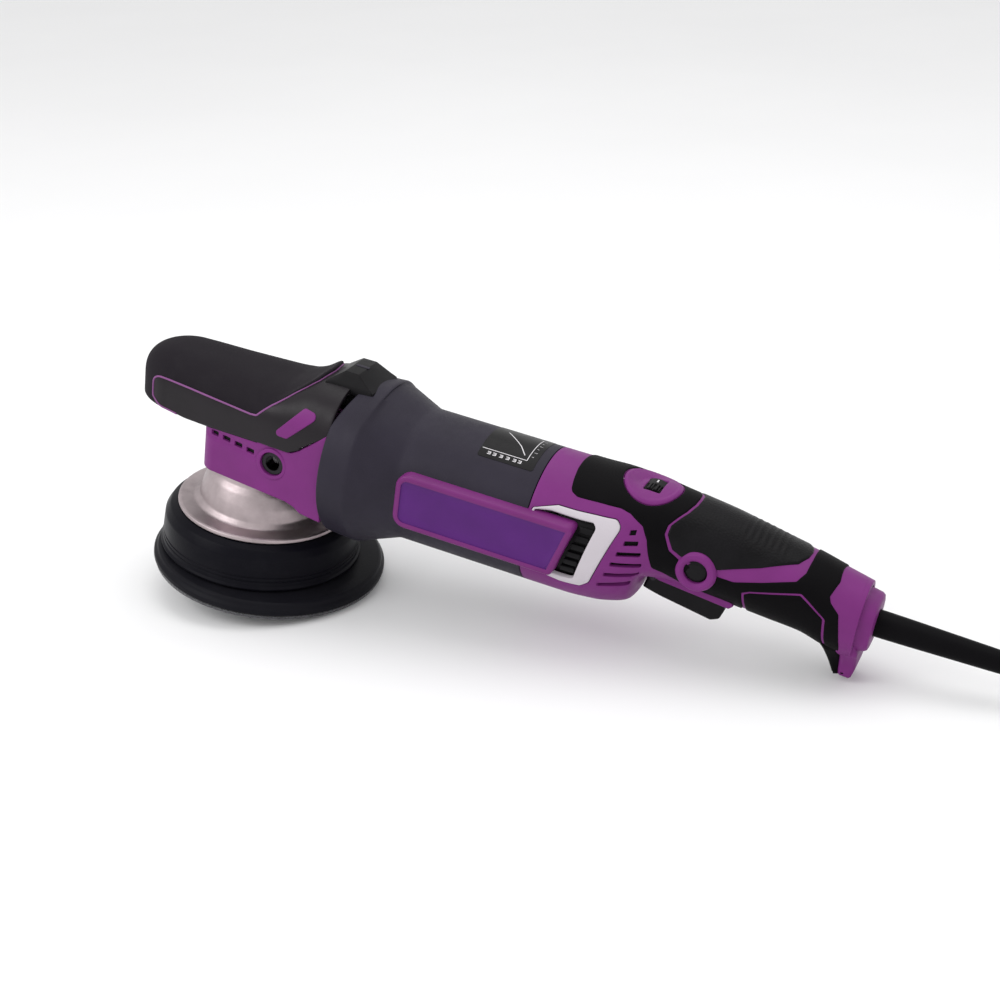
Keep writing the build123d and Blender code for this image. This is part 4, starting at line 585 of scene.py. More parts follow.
# ---- backing plate, shroud and skirt --------------------------------------------------------
def make_plate():
    """Flared pad with its stepped rim, on the orbiting axis."""
    profile = rounded([(13, 1.5, 0), (PLATE_R - 1.6, 1.5, 0.5), (PLATE_R, 2.6, 0.9),
                       (PLATE_R - 0.1, 5.0, 1.0), (PLATE_R - 1.6, 6.4, 1.0),
                       (PLATE_R - 2.2, 7.8, 0.8), (PLATE_R - 3.4, 8.5, 0.8),
                       (PLATE_R - 8.6, 9.0, 0.4), (32, 9.0, 0), (13, 9.0, 0)], 0.5)
    piece("backing_pad_shape", *turned(profile, (ORBIT, 0))[:2], "plate", [PAD],
          ["backing_pad"], "pad_foam")


def make_shroud():
    """Rubber skirt over the counterweight: lip, two grooves and a rolled shoulder."""
    r = SHROUD_R
    profile = rounded([(r - 3.2, 9.9, 0), (r + 0.7, 9.9, 0.4), (r + 1.0, 11.0, 0.5),
                       (r + 0.1, 12.2, 0.6), (r - 0.1, 14.0, 0.25), (r - 0.5, 14.25, 0.2),
                       (r - 0.5, 14.75, 0.2), (r - 0.1, 15.0, 0.25), (r - 0.2, 16.3, 0.25),
                       (r - 0.6, 16.55, 0.2), (r - 0.6, 17.05, 0.2), (r - 0.2, 17.3, 0.25),
                       (r - 0.9, 27.0, 3.0), (r - 3.4, 31.2, 2.5),
                       (SKIRT_R + 0.2, 33.0, 1.0), (SKIRT_R - 3, 33.2, 0),
                       (SKIRT_R - 3, 31.6, 0), (r - 6.5, 27.5, 0)], 0.5, step=15)
    piece("shroud_shape", *turned(profile)[:2], "housing", [SHROUD], ["rubber_shroud"],
          "soft_black")


def make_gear_case():
    """Cast skirt with its rounded rim, and the dome that rises to the gear box."""
    profile = rounded([(20, 33.3, 0), (SKIRT_R - 0.6, 33.3, 0.3), (SKIRT_R, 34.0, 0.5),
                       (SKIRT_R - 0.2, 35.6, 0.7), (SKIRT_R - 1.6, 36.1, 0.6),
                       (37.0, 36.6, 3.0), (34.4, 39.2, 3.0), (33.0, 46.0, 8.0),
                       (30.4, 52.0, 8.0), (28.0, 55.5, 3.0), (27.6, 60.0, 0), (20, 60.0, 0)],
                      1.0, step=8)
    dome = turned(profile, count=180)
    piece("gear_case_shape", *dome[:2], "housing", [CAST], ["gear_case"], "cast")


# ---- head -----------------------------------------------------------------------------------
def head_half(x):
    return HEAD_HALF + HEAD_TAPER * x


DECK_LEVEL = 0.7                  # the deck stands a little proud of the palm grip
HEAD_POWER = 0.72                 # 1 is an ellipse, less is fuller in the shoulders
NOSE_R = head_half(NOSE_X)
NOSE_TURN = pi / 2 * NOSE_R       # way round the nose to its tip


def head_section(x):
    """Centre height and half height of the head's upper section at x."""
    centre = eased(x, (-70, 6, 26, 44, 52), (95.2, 95.2, 92.5, 86.5, 84.5))
    top = eased(x, (-74, -46, -20, 4, 14, 20, 27, 34, 40, 52),
                (112.0, 112.2, 111.8, 111.9, 112.9, 114.9, 118.2, 120.8, 121.7, 121.8))
    return centre, top - centre


def head_skin(u, v, level):
    """Camera side of the head. u runs back along the side, and round the nose in front of
    it; v is the angle in degrees down from the top, past 90 it goes straight down."""
    u, v = np.asarray(u, float), np.asarray(v, float)
    level = np.broadcast_to(level, u.shape)
    x = np.maximum(u, NOSE_X)
    turn = np.maximum(NOSE_X - u, 0) / NOSE_R
    half = head_half(x)
    centre, high = head_section(x)
    angle = np.radians(np.minimum(v, 90))
    out = half * np.sin(angle) ** HEAD_POWER
    z = centre + high * np.cos(angle) ** HEAD_POWER
    ny, nz = np.sin(angle) / half, np.cos(angle) / high
    size = np.hypot(ny, nz)
    ny, nz = ny / size, nz / size
    z = z - np.maximum(v - 90, 0) * 0.25
    out = out + level * ny
    z = z + level * nz
    return np.c_[x - out * np.sin(turn), -out * np.cos(turn), z]


def head_angle(x, z):
    """Angle down from the top of a point of the side at x and z."""
    centre, high = head_section(x)
    share = (z - centre) / high
    return np.where(share >= 0, np.degrees(np.arccos(np.clip(share, 0, 1) ** (1 / HEAD_POWER))),
                    90 + (centre - z) / 0.25)


def head_degrees(x, z):
    return float(head_angle(x, z))


LINE_TURN = (7.8, 99.6)          # corner of the purple line, x and z
LINE_TOP = 35.5                   # where it crosses the top
LOWER_EDGE = [(-57, 84.6), (-36, 82.8), (-21, 83.2), (8, 85), (18, 85.4), (28, 85.9),
              (31.5, 87.6), (35.2, 90.5), (39.0, 93.4), (42.7, 96.3), (46.5, 99.1), (50.2, 102)]


def nose_lower(u):
    """Height of the head's lower edge."""
    return np.interp(u, [-87, -72, -58, -37, -21, 8, 28, 31.5, 50.2],
                     [85.6, 85.2, 84.6, 82.8, 83.2, 85, 85.9, 87.6, 102])


# the purple line from its corner up to the top: x, z and radius of each corner
DIAGONAL = [(8.2, 99.6, 2), (15.4, 106.3, 4), (23.5, 112.6, 8), (29.6, 117.2, 8), (33.6, 119.9, 5)]


def line_x(v):
    """Where the diagonal line lies at an angle v from the top."""
    angles = [0] + [head_degrees(x, z) for x, z, _ in DIAGONAL[::-1]] + [120]
    places = [LINE_TOP] + [x for x, _, _ in DIAGONAL[::-1]] + [DIAGONAL[0][0]]
    back = 1.8 * min(max((head_degrees(*LINE_TURN) - v) / 20.0, 0), 1)
    return float(np.interp(v, angles, places)) + 0.2 - back


def make_palm_grip():
    """Rubber palm grip: over the top and round the nose, with a raised lip at its rear."""
    across = np.r_[np.linspace(0, 60, 22), np.linspace(62.5, 92, 16)]
    downs = np.linspace(0.06, 1, 9)
    lengths = np.linspace(0, 1, 120)
    rear_u = np.array([line_x(v) for v in across])
    front_u = NOSE_X - NOSE_TURN

    def lift(u, v, rear):
        near = np.clip((u - rear + 7.0) / 7.0, 0, 1)
        top = np.clip(1 - v / 55.0, 0, 1)
        return 0.45 + 2.4 * near ** 2 * top ** 0.6

    sheets = []
    for v, rear in zip(across, rear_u):
        u = front_u + (rear - front_u) * lengths
        row = head_skin(u, np.full_like(u, v), lift(u, v, rear))
        edge_rows = []
        for inset, drop in edge(1.3, 4.0, 4)[::-1][1:]:
            ue = np.array([rear + 1.3 - inset])
            edge_rows.append(head_skin(ue, np.array([v]), lift(np.array([rear]), v, rear) + drop))
        sheets.append(np.vstack([row] + edge_rows))
    centre_row = sheets[-1]
    for step in downs:
        u = np.r_[front_u + (rear_u[-1] - front_u) * lengths, np.full(5, rear_u[-1])]
        target = nose_lower(u)
        start = centre_row[:, 2]
        row = centre_row.copy()
        row[:, 2] = start + (target - start) * step
        sheets.append(row)
    # underside: rolled edge, then in towards the middle
    outer = sheets[-1]
    for inset, drop in ((0.35, 0.5), (1.1, 0.95), (2.2, 1.15), (12.0, 1.2)):
        row = outer.copy()
        radial = np.where(outer[:, 0] < NOSE_X, 1.0, 0.0)
        along = np.c_[(outer[:, 0] - NOSE_X) * radial, outer[:, 1]]
        size = np.linalg.norm(along, axis=1)[:, None]
        row[:, :2] -= along / size * np.minimum(inset, size - 0.5)
        row[:, 2] -= drop
        sheets.append(row)
    columns = len(sheets[0])
    faces = [tuple(reversed(f)) for f in grid_faces(len(sheets), columns)]
    mesh = both_sides((np.vstack(sheets), faces, [0] * len(faces)))
    grip = piece("palm_grip", *mesh[:2], "housing", [PALM], ["head_grip"], "soft_black",
                 crease=60)
    weld = grip.modifiers.new("weld", "WELD")
    weld.merge_threshold = 0.00002


def deck_loop(inset=0.0):
    """Outline of the deck on the head's skin: the loop in front, the diagonal behind."""
    front = -58.0 + inset
    points = [(front, 104 + inset, 9), (front, head_degrees(-54, 100.6) + inset, 9),
              (-34, head_degrees(-34, 100.2) + inset, 0),
              (4.0, head_degrees(4.0, 99.1) + inset, 3)]
    points += [(x + inset, head_degrees(x, z), r) for x, z, r in DIAGONAL]
    return points + [(LINE_TOP + inset, 0, 0)]


def make_deck():
    """Black deck: side band and slanted facets up to the block."""
    def skin(x, t, level):
        return head_skin(x, t * 2.0, level)

    upper = [(p[0], p[1] / 2.0, p[2]) for p in deck_loop()]
    lower = [(x, head_degrees(x, z) / 2.0, 0.5) for x, z in LOWER_EDGE[::-1]]
    outline = upper + [(51.0, 0, 0), (51.0, head_degrees(50.2, 102) / 2.0, 0.5)] + lower[1:]
    outline = spaced(rounded(outline, 1.0), 1.2)
    mesh = patch_mesh(outline, skin, edge(0.5, 2.0), spacing=1.6,
                      height=lambda flat: np.full(len(flat), DECK_LEVEL))
    piece("deck", *both_sides(mesh)[:2], "housing", [DECK], ["head_band"], "black_plastic",
          crease=50)

    # thin purple bead along the deck's upper edge, in a lighter purple that is painted highlight
    line = rounded([(p[0], p[1] / 2.0, p[2]) for p in deck_loop(-0.3)], 1.0, closed=False)
    line = spaced(line, 0.8, closed=False)
    start = rounded([(-42, head_degrees(-42, 83.3) / 2.0),
                     (-53, head_degrees(-53, 84.3) / 2.0, 6),
                     (-58.2, head_degrees(-57, 88.5) / 2.0, 5), tuple(line[0])], 3,
                    closed=False)
    line = np.vstack([spaced(start, 0.8, closed=False)[:-1], line])
    bead = tube_mesh(skin(line[:, 0], line[:, 1], np.full(len(line), DECK_LEVEL - 0.1)), 0.52)
    piece("deck_line", *both_sides(bead)[:2], "housing", [PURPLE_LINE_HIGHLIGHT], (), "purple")


def make_badge():
    """Bare slanted badges standing proud on both sides of the deck."""
    outline = spaced(rounded([(18.4, 93.3), (27.4, 93.5), (44.4, 109.8), (34.6, 111.2)], 2.4), 0.6)

    def skin(x, z, level):
        return head_skin(x, head_angle(x, z), level + DECK_LEVEL + 0.5)
    mesh = patch_mesh(outline, skin, edge(0.45, 1.4), spacing=1.4)
    piece("badge_plates", *both_sides(mesh)[:2], "housing", [PURPLE], ["head_badges"], "purple")


def make_block():
    """Faceted black block that bridges the head and the motor housing."""
    side = [(35.6, 118.6, 0.4), (37.0, 122.2, 0.8), (45.6, 128.6, 0.8), (53.2, 128.6, 0.8),
            (60.4, 123.8, 0.6), (63.6, 122.0, 0.4), (63.6, 118.0, 0.4)]

    def lean(x, z, y):
        return y * (BLOCK_HALF - 3.8 * np.clip((z - 121.4) / 7.2, 0, 1)) / BLOCK_HALF
    mesh = slab_mesh(spaced(rounded(side, 0.6), 1.2), -BLOCK_HALF, BLOCK_HALF, 0.5, across=lean,
                     spacing=2.0)
    piece("bridge_shape", *mesh[:2], "housing", [BLACK], ["bridge_block"], "black_plastic",
          crease=25)
    slot = slab_mesh(spaced(rounded([(46.6, 128.2), (54.0, 128.2), (54.0, 128.85),
                                     (46.6, 128.85)], 0.2), 0.5), -1.1, 1.1, 0.2, spacing=1.0)
    piece("bridge_slot", *slot[:2], "housing", [GREY], (), "black_plastic")


def make_cover():
    """Purple cover round the gear box, with its vents and the ring of the side handle socket."""
    front, rear, corner = -27.0, 50.2, 10.0
    low = [(-27, 58.2), (-10, 57.8), (28.5, 57.4), (33.5, 56.4), (38.0, 54.0), (50.2, 53.4)]
    half_front = head_half(front) - 0.2

    def wall(u, z, level):
        """u is x along the side; in front of the corner it goes round to the middle."""
        u = np.asarray(u, float)
        x = np.maximum(u, front + corner)
        bend = np.clip((front + corner - u) / corner, 0, pi / 2)
        beyond = np.maximum(front + corner - u - corner * pi / 2, 0)
        half = head_half(x) - 0.2 - corner
        px = np.where(bend > 0, front + corner - (corner + level) * np.sin(bend), x)
        py = np.where(bend > 0, -(half - beyond) - (corner + level) * np.cos(bend),
                      -(half + corner + level))
        return np.c_[px, py, z]

    start = front + corner - corner * pi / 2 - (half_front - corner) - 0.8
    outline = [(start, 58.4, 0)] + [(x, z, 2.5) for x, z in low[1:-1]] + [
        (rear, 53.4, 0), (rear, 102.6, 0), (34.5, 88.8, 0), (30, 86.0, 0), (8, 85.4, 0),
        (-21, 83.6, 0), (-33, 83.2, 0), (start, 85.4, 0)]
    outline = spaced(rounded(outline, 1.0), 1.2)
    vents = [spaced(rounded([(x - 2.3, z - 1.2), (x + 2.3, z - 1.5), (x + 2.3, z + 1.2),
                             (x - 2.3, z + 1.5)], 0.45), 0.7)
             for x, z in ((-17.8 + 7.6 * k, 80.2 - 0.75 * k) for k in range(4))]
    angles = np.linspace(0, 2 * pi, 40, endpoint=False)
    socket = np.c_[SOCKET_X + 6.9 * np.cos(angles), SOCKET_Z + 6.9 * np.sin(angles)]

    def strip(flat):
        """Shallow recess along the vents."""
        x, z = flat[:, 0], flat[:, 1]
        centre = 80.2 - 0.75 * (x + 17.8) / 7.6
        across = np.clip((3.3 - np.abs(z - centre)) / 0.8, 0, 1)
        along = np.clip((x + 24) / 1.5, 0, 1) * np.clip((13.0 - x) / 1.5, 0, 1)
        return -0.55 * across * along
    mesh = patch_mesh(outline, wall, edge(0.5, 2.0), [*vents, socket], spacing=1.3,
                      height=strip)
    piece("cover_walls", *both_sides(mesh)[:2], "housing", [PURPLE], ["head_cover"], "purple",
          crease=50)

    ring = rounded([(6.5, -6.0, 0), (6.5, 0.9, 0.5), (8.6, 0.9, 0.7), (8.6, -0.6, 0)], 0.4)
    points, faces, kinds = turned(ring, count=64)
    half = head_half(SOCKET_X)
    points = np.c_[points[:, 0] + SOCKET_X, -(points[:, 2] + half), points[:, 1] + SOCKET_Z]
    piece("socket_rings", *both_sides((points, faces, kinds))[:2], "housing", [PURPLE], (),
          "purple")

    # dark sheets behind the vents: painted shade for the dark inside of the vents
    back = spaced(np.array([(-22.0, 74.0), (13.0, 74.0), (13.0, 84.0), (-22.0, 84.0)]), 2.0)
    mesh = patch_mesh(back, wall, [(0.0, -2.6), (0.5, -2.2)], spacing=3.0)
    piece("vent_shade_sheets", *both_sides(mesh)[:2], "housing", [BLACK], (), "black_plastic")


# ---- motor housing --------------------------------------------------------------------------
def bell_front(angle):
    """x of the bell's front rim; it sweeps back over the top. 'angle' is from the top."""
    z = MOTOR_Z + BELL_R * np.cos(angle)
    return 50.4 + np.clip((z - 108.0) / 15.5, 0, 1) ** 1.3 * 6.0


def make_housing():
    """Motor housing in one mesh: rim, bell, cone and barrel."""
    profile = rounded([(0, 39.5, 0), (0, BELL_R - 0.9, 1.4), (16.0, BELL_R, 5.0),
                       (38.5, BARREL_R, 9.0), (BARREL_END - BELL_X - 0.3, BARREL_R, 0.25),
                       (BARREL_END - BELL_X - 0.3, BARREL_R - 3, 0)], 1.0, closed=False, step=6)
    profile = spaced(profile, 3.0, closed=False)
    count = 180
    around = 2 * pi * np.arange(count) / count
    front = bell_front(around)
    rows = []
    for along, r in profile:
        share = np.clip(1 - along / 22.0, 0, 1)
        x = BELL_X + along + (front - BELL_X) * np.where(along < 18.0, share ** 0.6, 0)
        x = np.maximum(x, front + min(along, 1.5))
        z = np.maximum(MOTOR_Z + r * np.cos(around), MOTOR_Z - BELL_R + 1.9)
        rows.append(np.c_[x, -r * np.sin(around), z])
    faces = [tuple(reversed(f)) for f in grid_faces(len(rows), count, wrap=True)]
    piece("housing_shell", np.vstack(rows), faces, "housing", [GREY], ["motor_housing"],
          "housing_grey", crease=50)


def flat_side(x, z, level):
    """Upright plane on the camera side, at the panels' outer face."""
    return np.c_[x, np.full(len(x), -PANEL_Y) - level, z]


def make_panels():
    """Raised side panels: rolled rim, and a deeper field inside it."""
    outline = spaced(rounded([(91, 67.3, 6.5), (177.0, 67.3, 2.6), (185.4, 96.2, 2.6),
                              (91, 96.2, 6.5)], 5), 1.2)
    rim = [(0, -9.0), (0, -1.3), (0.15, -0.75), (0.5, -0.32), (1.1, -0.05), (1.8, 0.0),
           (2.6, -0.05), (3.0, -0.25), (3.15, -0.7), (3.4, -0.85)]
    mesh = patch_mesh(outline, flat_side, rim, spacing=4.0, field_from=7)
    for name, half in (("left", mesh), ("right", mirrored(mesh))):
        piece(f"panel_{name}", half[0], half[1], "housing", [RIM, VIOLET],
              [f"side_panel_{name}"], "panel", indices=half[2], crease=40)


def barrel_skin(x, t, level):
    """Barrel surface; t is the way round from the top, towards the camera side."""
    r = BARREL_R + level
    angle = t / BARREL_R
    return np.c_[x, -r * np.sin(angle), MOTOR_Z + r * np.cos(angle)]


def make_label():
    """Generic chart on the barrel: a dark film with axes, ticks and one curve."""
    low, high, x0, x1 = -14.0, 19.0, 124.4, 154.0
    outline = spaced(rounded([(x0, low), (x1, low), (x1, high), (x0, high)], 1.2), 1.5)
    mesh = patch_mesh(outline, barrel_skin, [(0, -0.3), (0, 0.14), (0.05, 0.2)], spacing=2.5)
    piece("chart_film", *mesh[:2], "housing", [LABEL], (), "black_plastic")

    def stroke(line, width):
        line = spaced(np.array(line, float), 1.0, closed=False)
        ahead = np.gradient(line, axis=0)
        ahead /= np.linalg.norm(ahead, axis=1)[:, None]
        side = np.c_[-ahead[:, 1], ahead[:, 0]] * width / 2
        points = np.vstack([line - side, line + side])
        n = len(line)
        faces = [(i, i + 1, n + i + 1, n + i) for i in range(n - 1)]
        return barrel_skin(points[:, 0], points[:, 1], np.full(2 * n, 0.26)), faces, []

    base, axis = 13.7, 149.0
    strokes = [stroke([(x0 + 0.9, base), (axis, base)], 0.4),
               stroke([(axis, base), (axis, -8.6)], 0.4),
               stroke(rounded([(131.4, -5.2), (142.2, 5.0), (146.6, 10.8)], 6, closed=False),
                      0.5)]
    for x in (129.7, 132.6, 136.2, 139.7, 143.3, 146.1):
        strokes.append(stroke([(x - 0.9, base + 1.5), (x + 0.7, base + 1.5)], 0.4))
        strokes.append(stroke([(x - 0.9, base + 2.9), (x + 0.7, base + 2.9)], 0.4))
        strokes.append(stroke([(x + 0.7, base + 1.4), (x + 0.7, base + 3.0)], 0.4))
        strokes.append(stroke([(x - 0.6, base + 2.2), (x + 0.6, base + 2.2)], 0.3))
    for k in range(6):
        t = base - 3.2 - 3.4 * k
        strokes.append(stroke([(axis + 1.2, t), (axis + (2.9 if k % 2 else 2.3), t)], 0.25))
    points, faces, _ = joined(*[(s[0], s[1]) for s in strokes])
    piece("chart_lines", points, faces, "housing", [INK], (), "white_plastic")


# ---- handle ---------------------------------------------------------------------------------
DEGREE = 0.385      # millimetres of the plan for one degree round the handle


def handle_skin(x, v, level):
    """Handle surface: v / DEGREE is the angle in degrees from the top, camera side first."""
    x, angle = np.asarray(x, float), np.radians(np.asarray(v, float) / DEGREE)
    half = eased(x, HANDLE[:, 0], HANDLE[:, 1])
    low, high = eased(x, HANDLE[:, 0], HANDLE[:, 2]), eased(x, HANDLE[:, 0], HANDLE[:, 3])
    middle, tall = (low + high) / 2, (high - low) / 2
    ny, nz = np.sin(angle) / half, np.cos(angle) / tall
    size = np.hypot(ny, nz)
    y = half * np.sin(angle) + level * ny / size
    z = middle + tall * np.cos(angle) + level * nz / size
    under = np.clip((-np.cos(angle) - 0.3) / 0.6, 0, 1)
    return np.c_[x, -y, z + (handle_low(x) - low) * under * under * (3 - 2 * under)]


def handle_low(x):
    """Bottom of the handle, with the step behind the rear housing."""
    return eased(x, (BARREL_END, 180, 195, 205, 211, 213.6, 215.6, 217.4, 222, 235, 250, 265, 280,
                     295, 309, HANDLE_END),
                 (45.5, 45.6, 46.8, 49.0, 51.6, 55.5, 63.5, 66.8, 67.8, 68.5, 67.6, 66.4, 65.5,
                  64.6, 60.6, 57.6))


def at(x, angle, *radius):
    """Point of a handle outline: x and the angle in degrees from the top."""
    return (x, angle * DEGREE, *radius)


def at_z(x, z, *radius):
    """Point of a handle outline given by its height on the camera side."""
    low, high = eased(x, HANDLE[:, 0], HANDLE[:, 2]), eased(x, HANDLE[:, 0], HANDLE[:, 3])
    share = np.clip((z - (low + high) / 2) / ((high - low) / 2), -1, 1)
    return (x, degrees(np.arccos(share)) * DEGREE, *radius)


def close_loop(half):
    """Closed outline from the half that runs from the front top to the rear top."""
    return [*half, *[(p[0], -p[1], *p[2:]) for p in half[::-1]]]


def bezel_loop(grow=0.0, count=56):
    """Oval round the speed dial, in the plan of the handle's skin."""
    loop = []
    for k in range(count):
        angle = 2 * pi * k / count
        x = DIAL_X - 1 + (14.8 + grow) * cos(angle)
        y = (16.4 + grow) * sin(angle)
        half = eased(x, HANDLE[:, 0], HANDLE[:, 1])
        loop.append((float(x), degrees(np.arcsin(y / half)) * DEGREE))
    return np.array(loop)


def grip_loop(grow=0.0):
    """Outline of the main grip, grown by the width of the line round it."""
    half = [at(235.6 - grow, 1, 0), at(235.2 - grow, 14, 3), at(233.1 - grow, 29, 3),
            at(227.2 - grow, 52 + grow / 2, 1.5), at(227.0 - grow, 63, 1.2),
            at(231.0 - grow * 0.8, 80 + grow, 1.2), at(236, 86 + 2 * grow, 1),
            at(243, 91 + 2 * grow, 1), at(254.5, 84.5 + 2 * grow, 4),
            at(272.8, 59.5 + 2.2 * grow, 3), at(288.9 + grow / 2, 31 + 2.5 * grow, 1.5),
            at(292.2 + grow, 14, 2), at(292.8 + grow, 1, 0)]
    return spaced(rounded(close_loop(half), 1.0), 0.9)


def strip_loop():
    """Outline of grip and strip together, as the overmould leaves them free."""
    half = [at(234.4, 1, 0), at(234.0, 14, 3), at(231.9, 29, 3), at(226.0, 52.5, 1.5),
            at(225.7, 63.5, 1.2), at(229.6, 82, 1.2), at(236, 92, 1), at(246, 96, 1),
            at(254.7, 94, 1.5), at(262.5, 92, 4), at(275.8, 75.5, 3), at(290.7, 54.5, 1.5),
            at(293.6, 38, 2), at(294.2, 14, 2), at(294.2, 1, 0)]
    return spaced(rounded(close_loop(half), 1.0), 0.9)


def belly_points(grow=0.0):
    """Camera-side outline of the lower grip, from its front bottom to its rear bottom."""
    return [at(266.9 - grow, 180, 0), at(269.6 - grow, 133, 3), at(268.4 - grow, 104 - grow, 1.2),
            at(271.0, 98 - 2 * grow, 2), at(294.3 + grow * 0.3, 69.6 - 2.6 * grow, 1.5),
            at(307.0 + grow, 84 - grow, 1.5), at(308.8 + grow, 129, 3), at(308.8 + grow, 180, 0)]


def make_overmould():
    """Black rubber: neck saddle, flanks, rear band; free of grip, strip, dial and belly."""
    half = [at(173.6, 1, 0), at(173.8, 14, 6), at(174.8, 28, 5), at(176.0, 37.5, 3.0),
            at(180, 41, 3), at(202.3, 41.6, 5), at(207.5, 44.8, 3), at(214.9, 56.2, 3),
            at(218.4, 72, 4), at(220.6, 92, 4), at(222.8, 111, 3), at(228, 118, 3),
            at(236, 132, 4), at(251.8, 144.5, 4), at(259.5, 149, 3), at(262.5, 180, 0)]
    tail = belly_points(1.1)
    rear = [at(321.0, 180, 0), at(318.2, 150, 0), at(317.2, 118, 3), at(315.4, 90, 3),
            at(313.5, 68.5, 2), at(308.6, 58.5, 1.5), at(307.4, 51.5, 1.5), at(309.6, 26, 3),
            at(309.0, 12, 3), at(308.8, 1, 0)]
    outline = spaced(rounded(close_loop(half + tail + rear), 1.0), 0.9)
    mesh = patch_mesh(outline, handle_skin, edge(0.8, 1.6), [strip_loop(), bezel_loop(0.2)],
                      spacing=1.3, height=overmould_lift)
    piece("overmould", *mesh[:2], "housing", [RUBBER], ["handle_overmould"], "soft_black",
          crease=60)


def overmould_lift(flat):
    """The whole overmould stands a little proud, the neck pad no more than the rest."""
    return np.full(len(flat), 0.55)


def make_grips():
    """Main grip on top and lower grip under the hand, each in its own outline."""
    def ribs(flat):
        x, angle = flat[:, 0], np.abs(flat[:, 1]) / DEGREE
        wave = np.sin((x - 259.5) / 3.4 * 2 * pi) * np.clip((x - 258) / 4, 0, 1) \
            * np.clip((284 - x) / 4, 0, 1)
        return 0.75 + 0.3 * wave * np.clip((34 - angle) / 12, 0, 1)
    mesh = patch_mesh(grip_loop(), handle_skin, edge(0.9, 1.8), spacing=1.0, height=ribs)
    piece("main_grip_shape", *mesh[:2], "housing", [GRIP], ["main_grip"], "soft_black",
          crease=60)

    half = belly_points()
    whole = [*half, *[(p[0], 360 * DEGREE - p[1], *p[2:]) for p in half[::-1]]]
    whole = [p for p in whole if abs(p[1] - 180 * DEGREE) > 0.01]
    outline = spaced(rounded(whole, 1.0), 0.9)
    mesh = patch_mesh(outline, handle_skin, edge(0.8, 1.8), spacing=1.4,
                      height=lambda flat: np.full(len(flat), 0.55))
    piece("lower_grip_shape", *mesh[:2], "housing", [RUBBER], ["lower_grip"], "soft_black",
          crease=60)


def vent_loops():
    """The six cooling slots of the rear housing."""
    # front and rear end of each slot: x, z, x, z
    slots = [(210.0, 98.5, 212.9, 99.1), (208.6, 93.2, 215.1, 94.2), (206.3, 87.5, 217.3, 88.7),
             (204.3, 81.6, 218.3, 82.6), (202.0, 74.9, 217.6, 76.7), (199.2, 67.5, 214.2, 71.4)]
    loops = []
    for x0, z0, x1, z1 in slots:
        run = np.linspace(0.0, 1.0, 8)
        x, z = x0 + (x1 - x0) * run, z0 + (z1 - z0) * run
        lower = [at_z(a, b - 1.15, 0.6) for a, b in zip(x, z)]
        upper = [at_z(a, b + 1.15, 0.6) for a, b in zip(x, z)]
        loops.append(spaced(rounded(lower + upper[::-1], 0.6), 0.8))
    return loops


def frame_loop(grow=0.0):
    """Outline of the pale frame behind the side panel."""
    points = [at_z(161.0 - grow, 97.4, 1), at_z(172.8, 101.3 + grow, 2),
              at_z(202.6 + grow * 0.3, 102.6 + grow, 3.2), at_z(205.6 + grow, 99.6, 2.2),
              at_z(195.2 + grow, 67.6, 3), at_z(190.8 + grow / 2, 63.6 - grow, 3),
              at_z(180.0, 62.9 - grow, 6), at_z(161.0 - grow, 66.2 - grow, 0.4),
              at_z(161.0 - grow, 69.5, 0.5)]
    return spaced(rounded(points, 1.0), 0.8)


def make_shells():
    """Purple shells of the handle, with the slots and the recess of the frame on each side."""
    start = BARREL_END + 0.2
    outline = spaced(rounded([at(start, -180, 0), at(HANDLE_END, -180, 0),
                              at(HANDLE_END, 180, 0), at(start, 180, 0)]), 1.4)
    holes = vent_loops() + [frame_loop(0.35)]
    holes += [hole * np.array((1, -1)) for hole in holes] + [bezel_loop(0.1)]
    mesh = patch_mesh(outline, handle_skin, [(0, -2.5), (0, -0.15), (0.08, -0.04), (0.25, 0)],
                      holes, spacing=1.5)
    piece("shells", *mesh[:2], "housing", [PURPLE],
          ["handle_shell_left", "handle_shell_right"], "purple", crease=45)


def make_frames():
    """Pale frames, standing a little proud all round, and the dark slot with its bars."""
    def swell(flat):
        return np.full(len(flat), 0.35)
    outer = frame_loop()
    mesh = patch_mesh(outer, handle_skin, edge(0.6, 2.4), [slot_loop()], spacing=1.5,
                      height=swell)
    piece("frames", *both_sides(mesh)[:2], "housing", [WHITE], ["vent_frames"],
          "white_plastic", crease=50)

    # The dark sheet behind the bars is painted shade for the dark inside of the slot; the bars are the grille
    # itself.
    back = spaced(rounded([at_z(176, 99.6), at_z(196, 99.6), at_z(190, 66), at_z(176, 66)], 1),
                  1.2)
    mesh = patch_mesh(back, handle_skin, [(0.0, -3.2), (0.3, -3.0)], spacing=2.5)
    bars = []
    for k in range(6):
        share = (k + 0.7) / 6.4
        x, z = 183.9 + 7.6 * share, 68.0 + 29.5 * share
        bar = rounded([at_z(x - 4.5, z - 1.5), at_z(x + 2.6, z - 1.5), at_z(x + 2.6, z + 1.5),
                       at_z(x - 4.5, z + 1.5)], 0.5)
        bars.append(patch_mesh(spaced(bar, 0.8), handle_skin, edge(0.4, 2.2, 2), spacing=1.5,
                               height=lambda flat: np.full(len(flat), -1.1)))
    mesh = joined(mesh, *bars)
    piece("grilles", *both_sides(mesh)[:2], "housing", [BLACK], ["vent_grilles"],
          "black_plastic")

    # dark sheets behind the cooling slots: painted shade for the dark inside of the slots
    back = spaced(rounded([at_z(197, 104), at_z(217, 104), at_z(221, 84), at_z(217.5, 71),
                           at_z(197, 65)], 1), 1.5)
    mesh = patch_mesh(back, handle_skin, [(0.0, -3.0), (0.3, -2.9)], spacing=3.0)
    piece("slot_shade_sheets", *both_sides(mesh)[:2], "housing", [BLACK], (), "black_plastic")


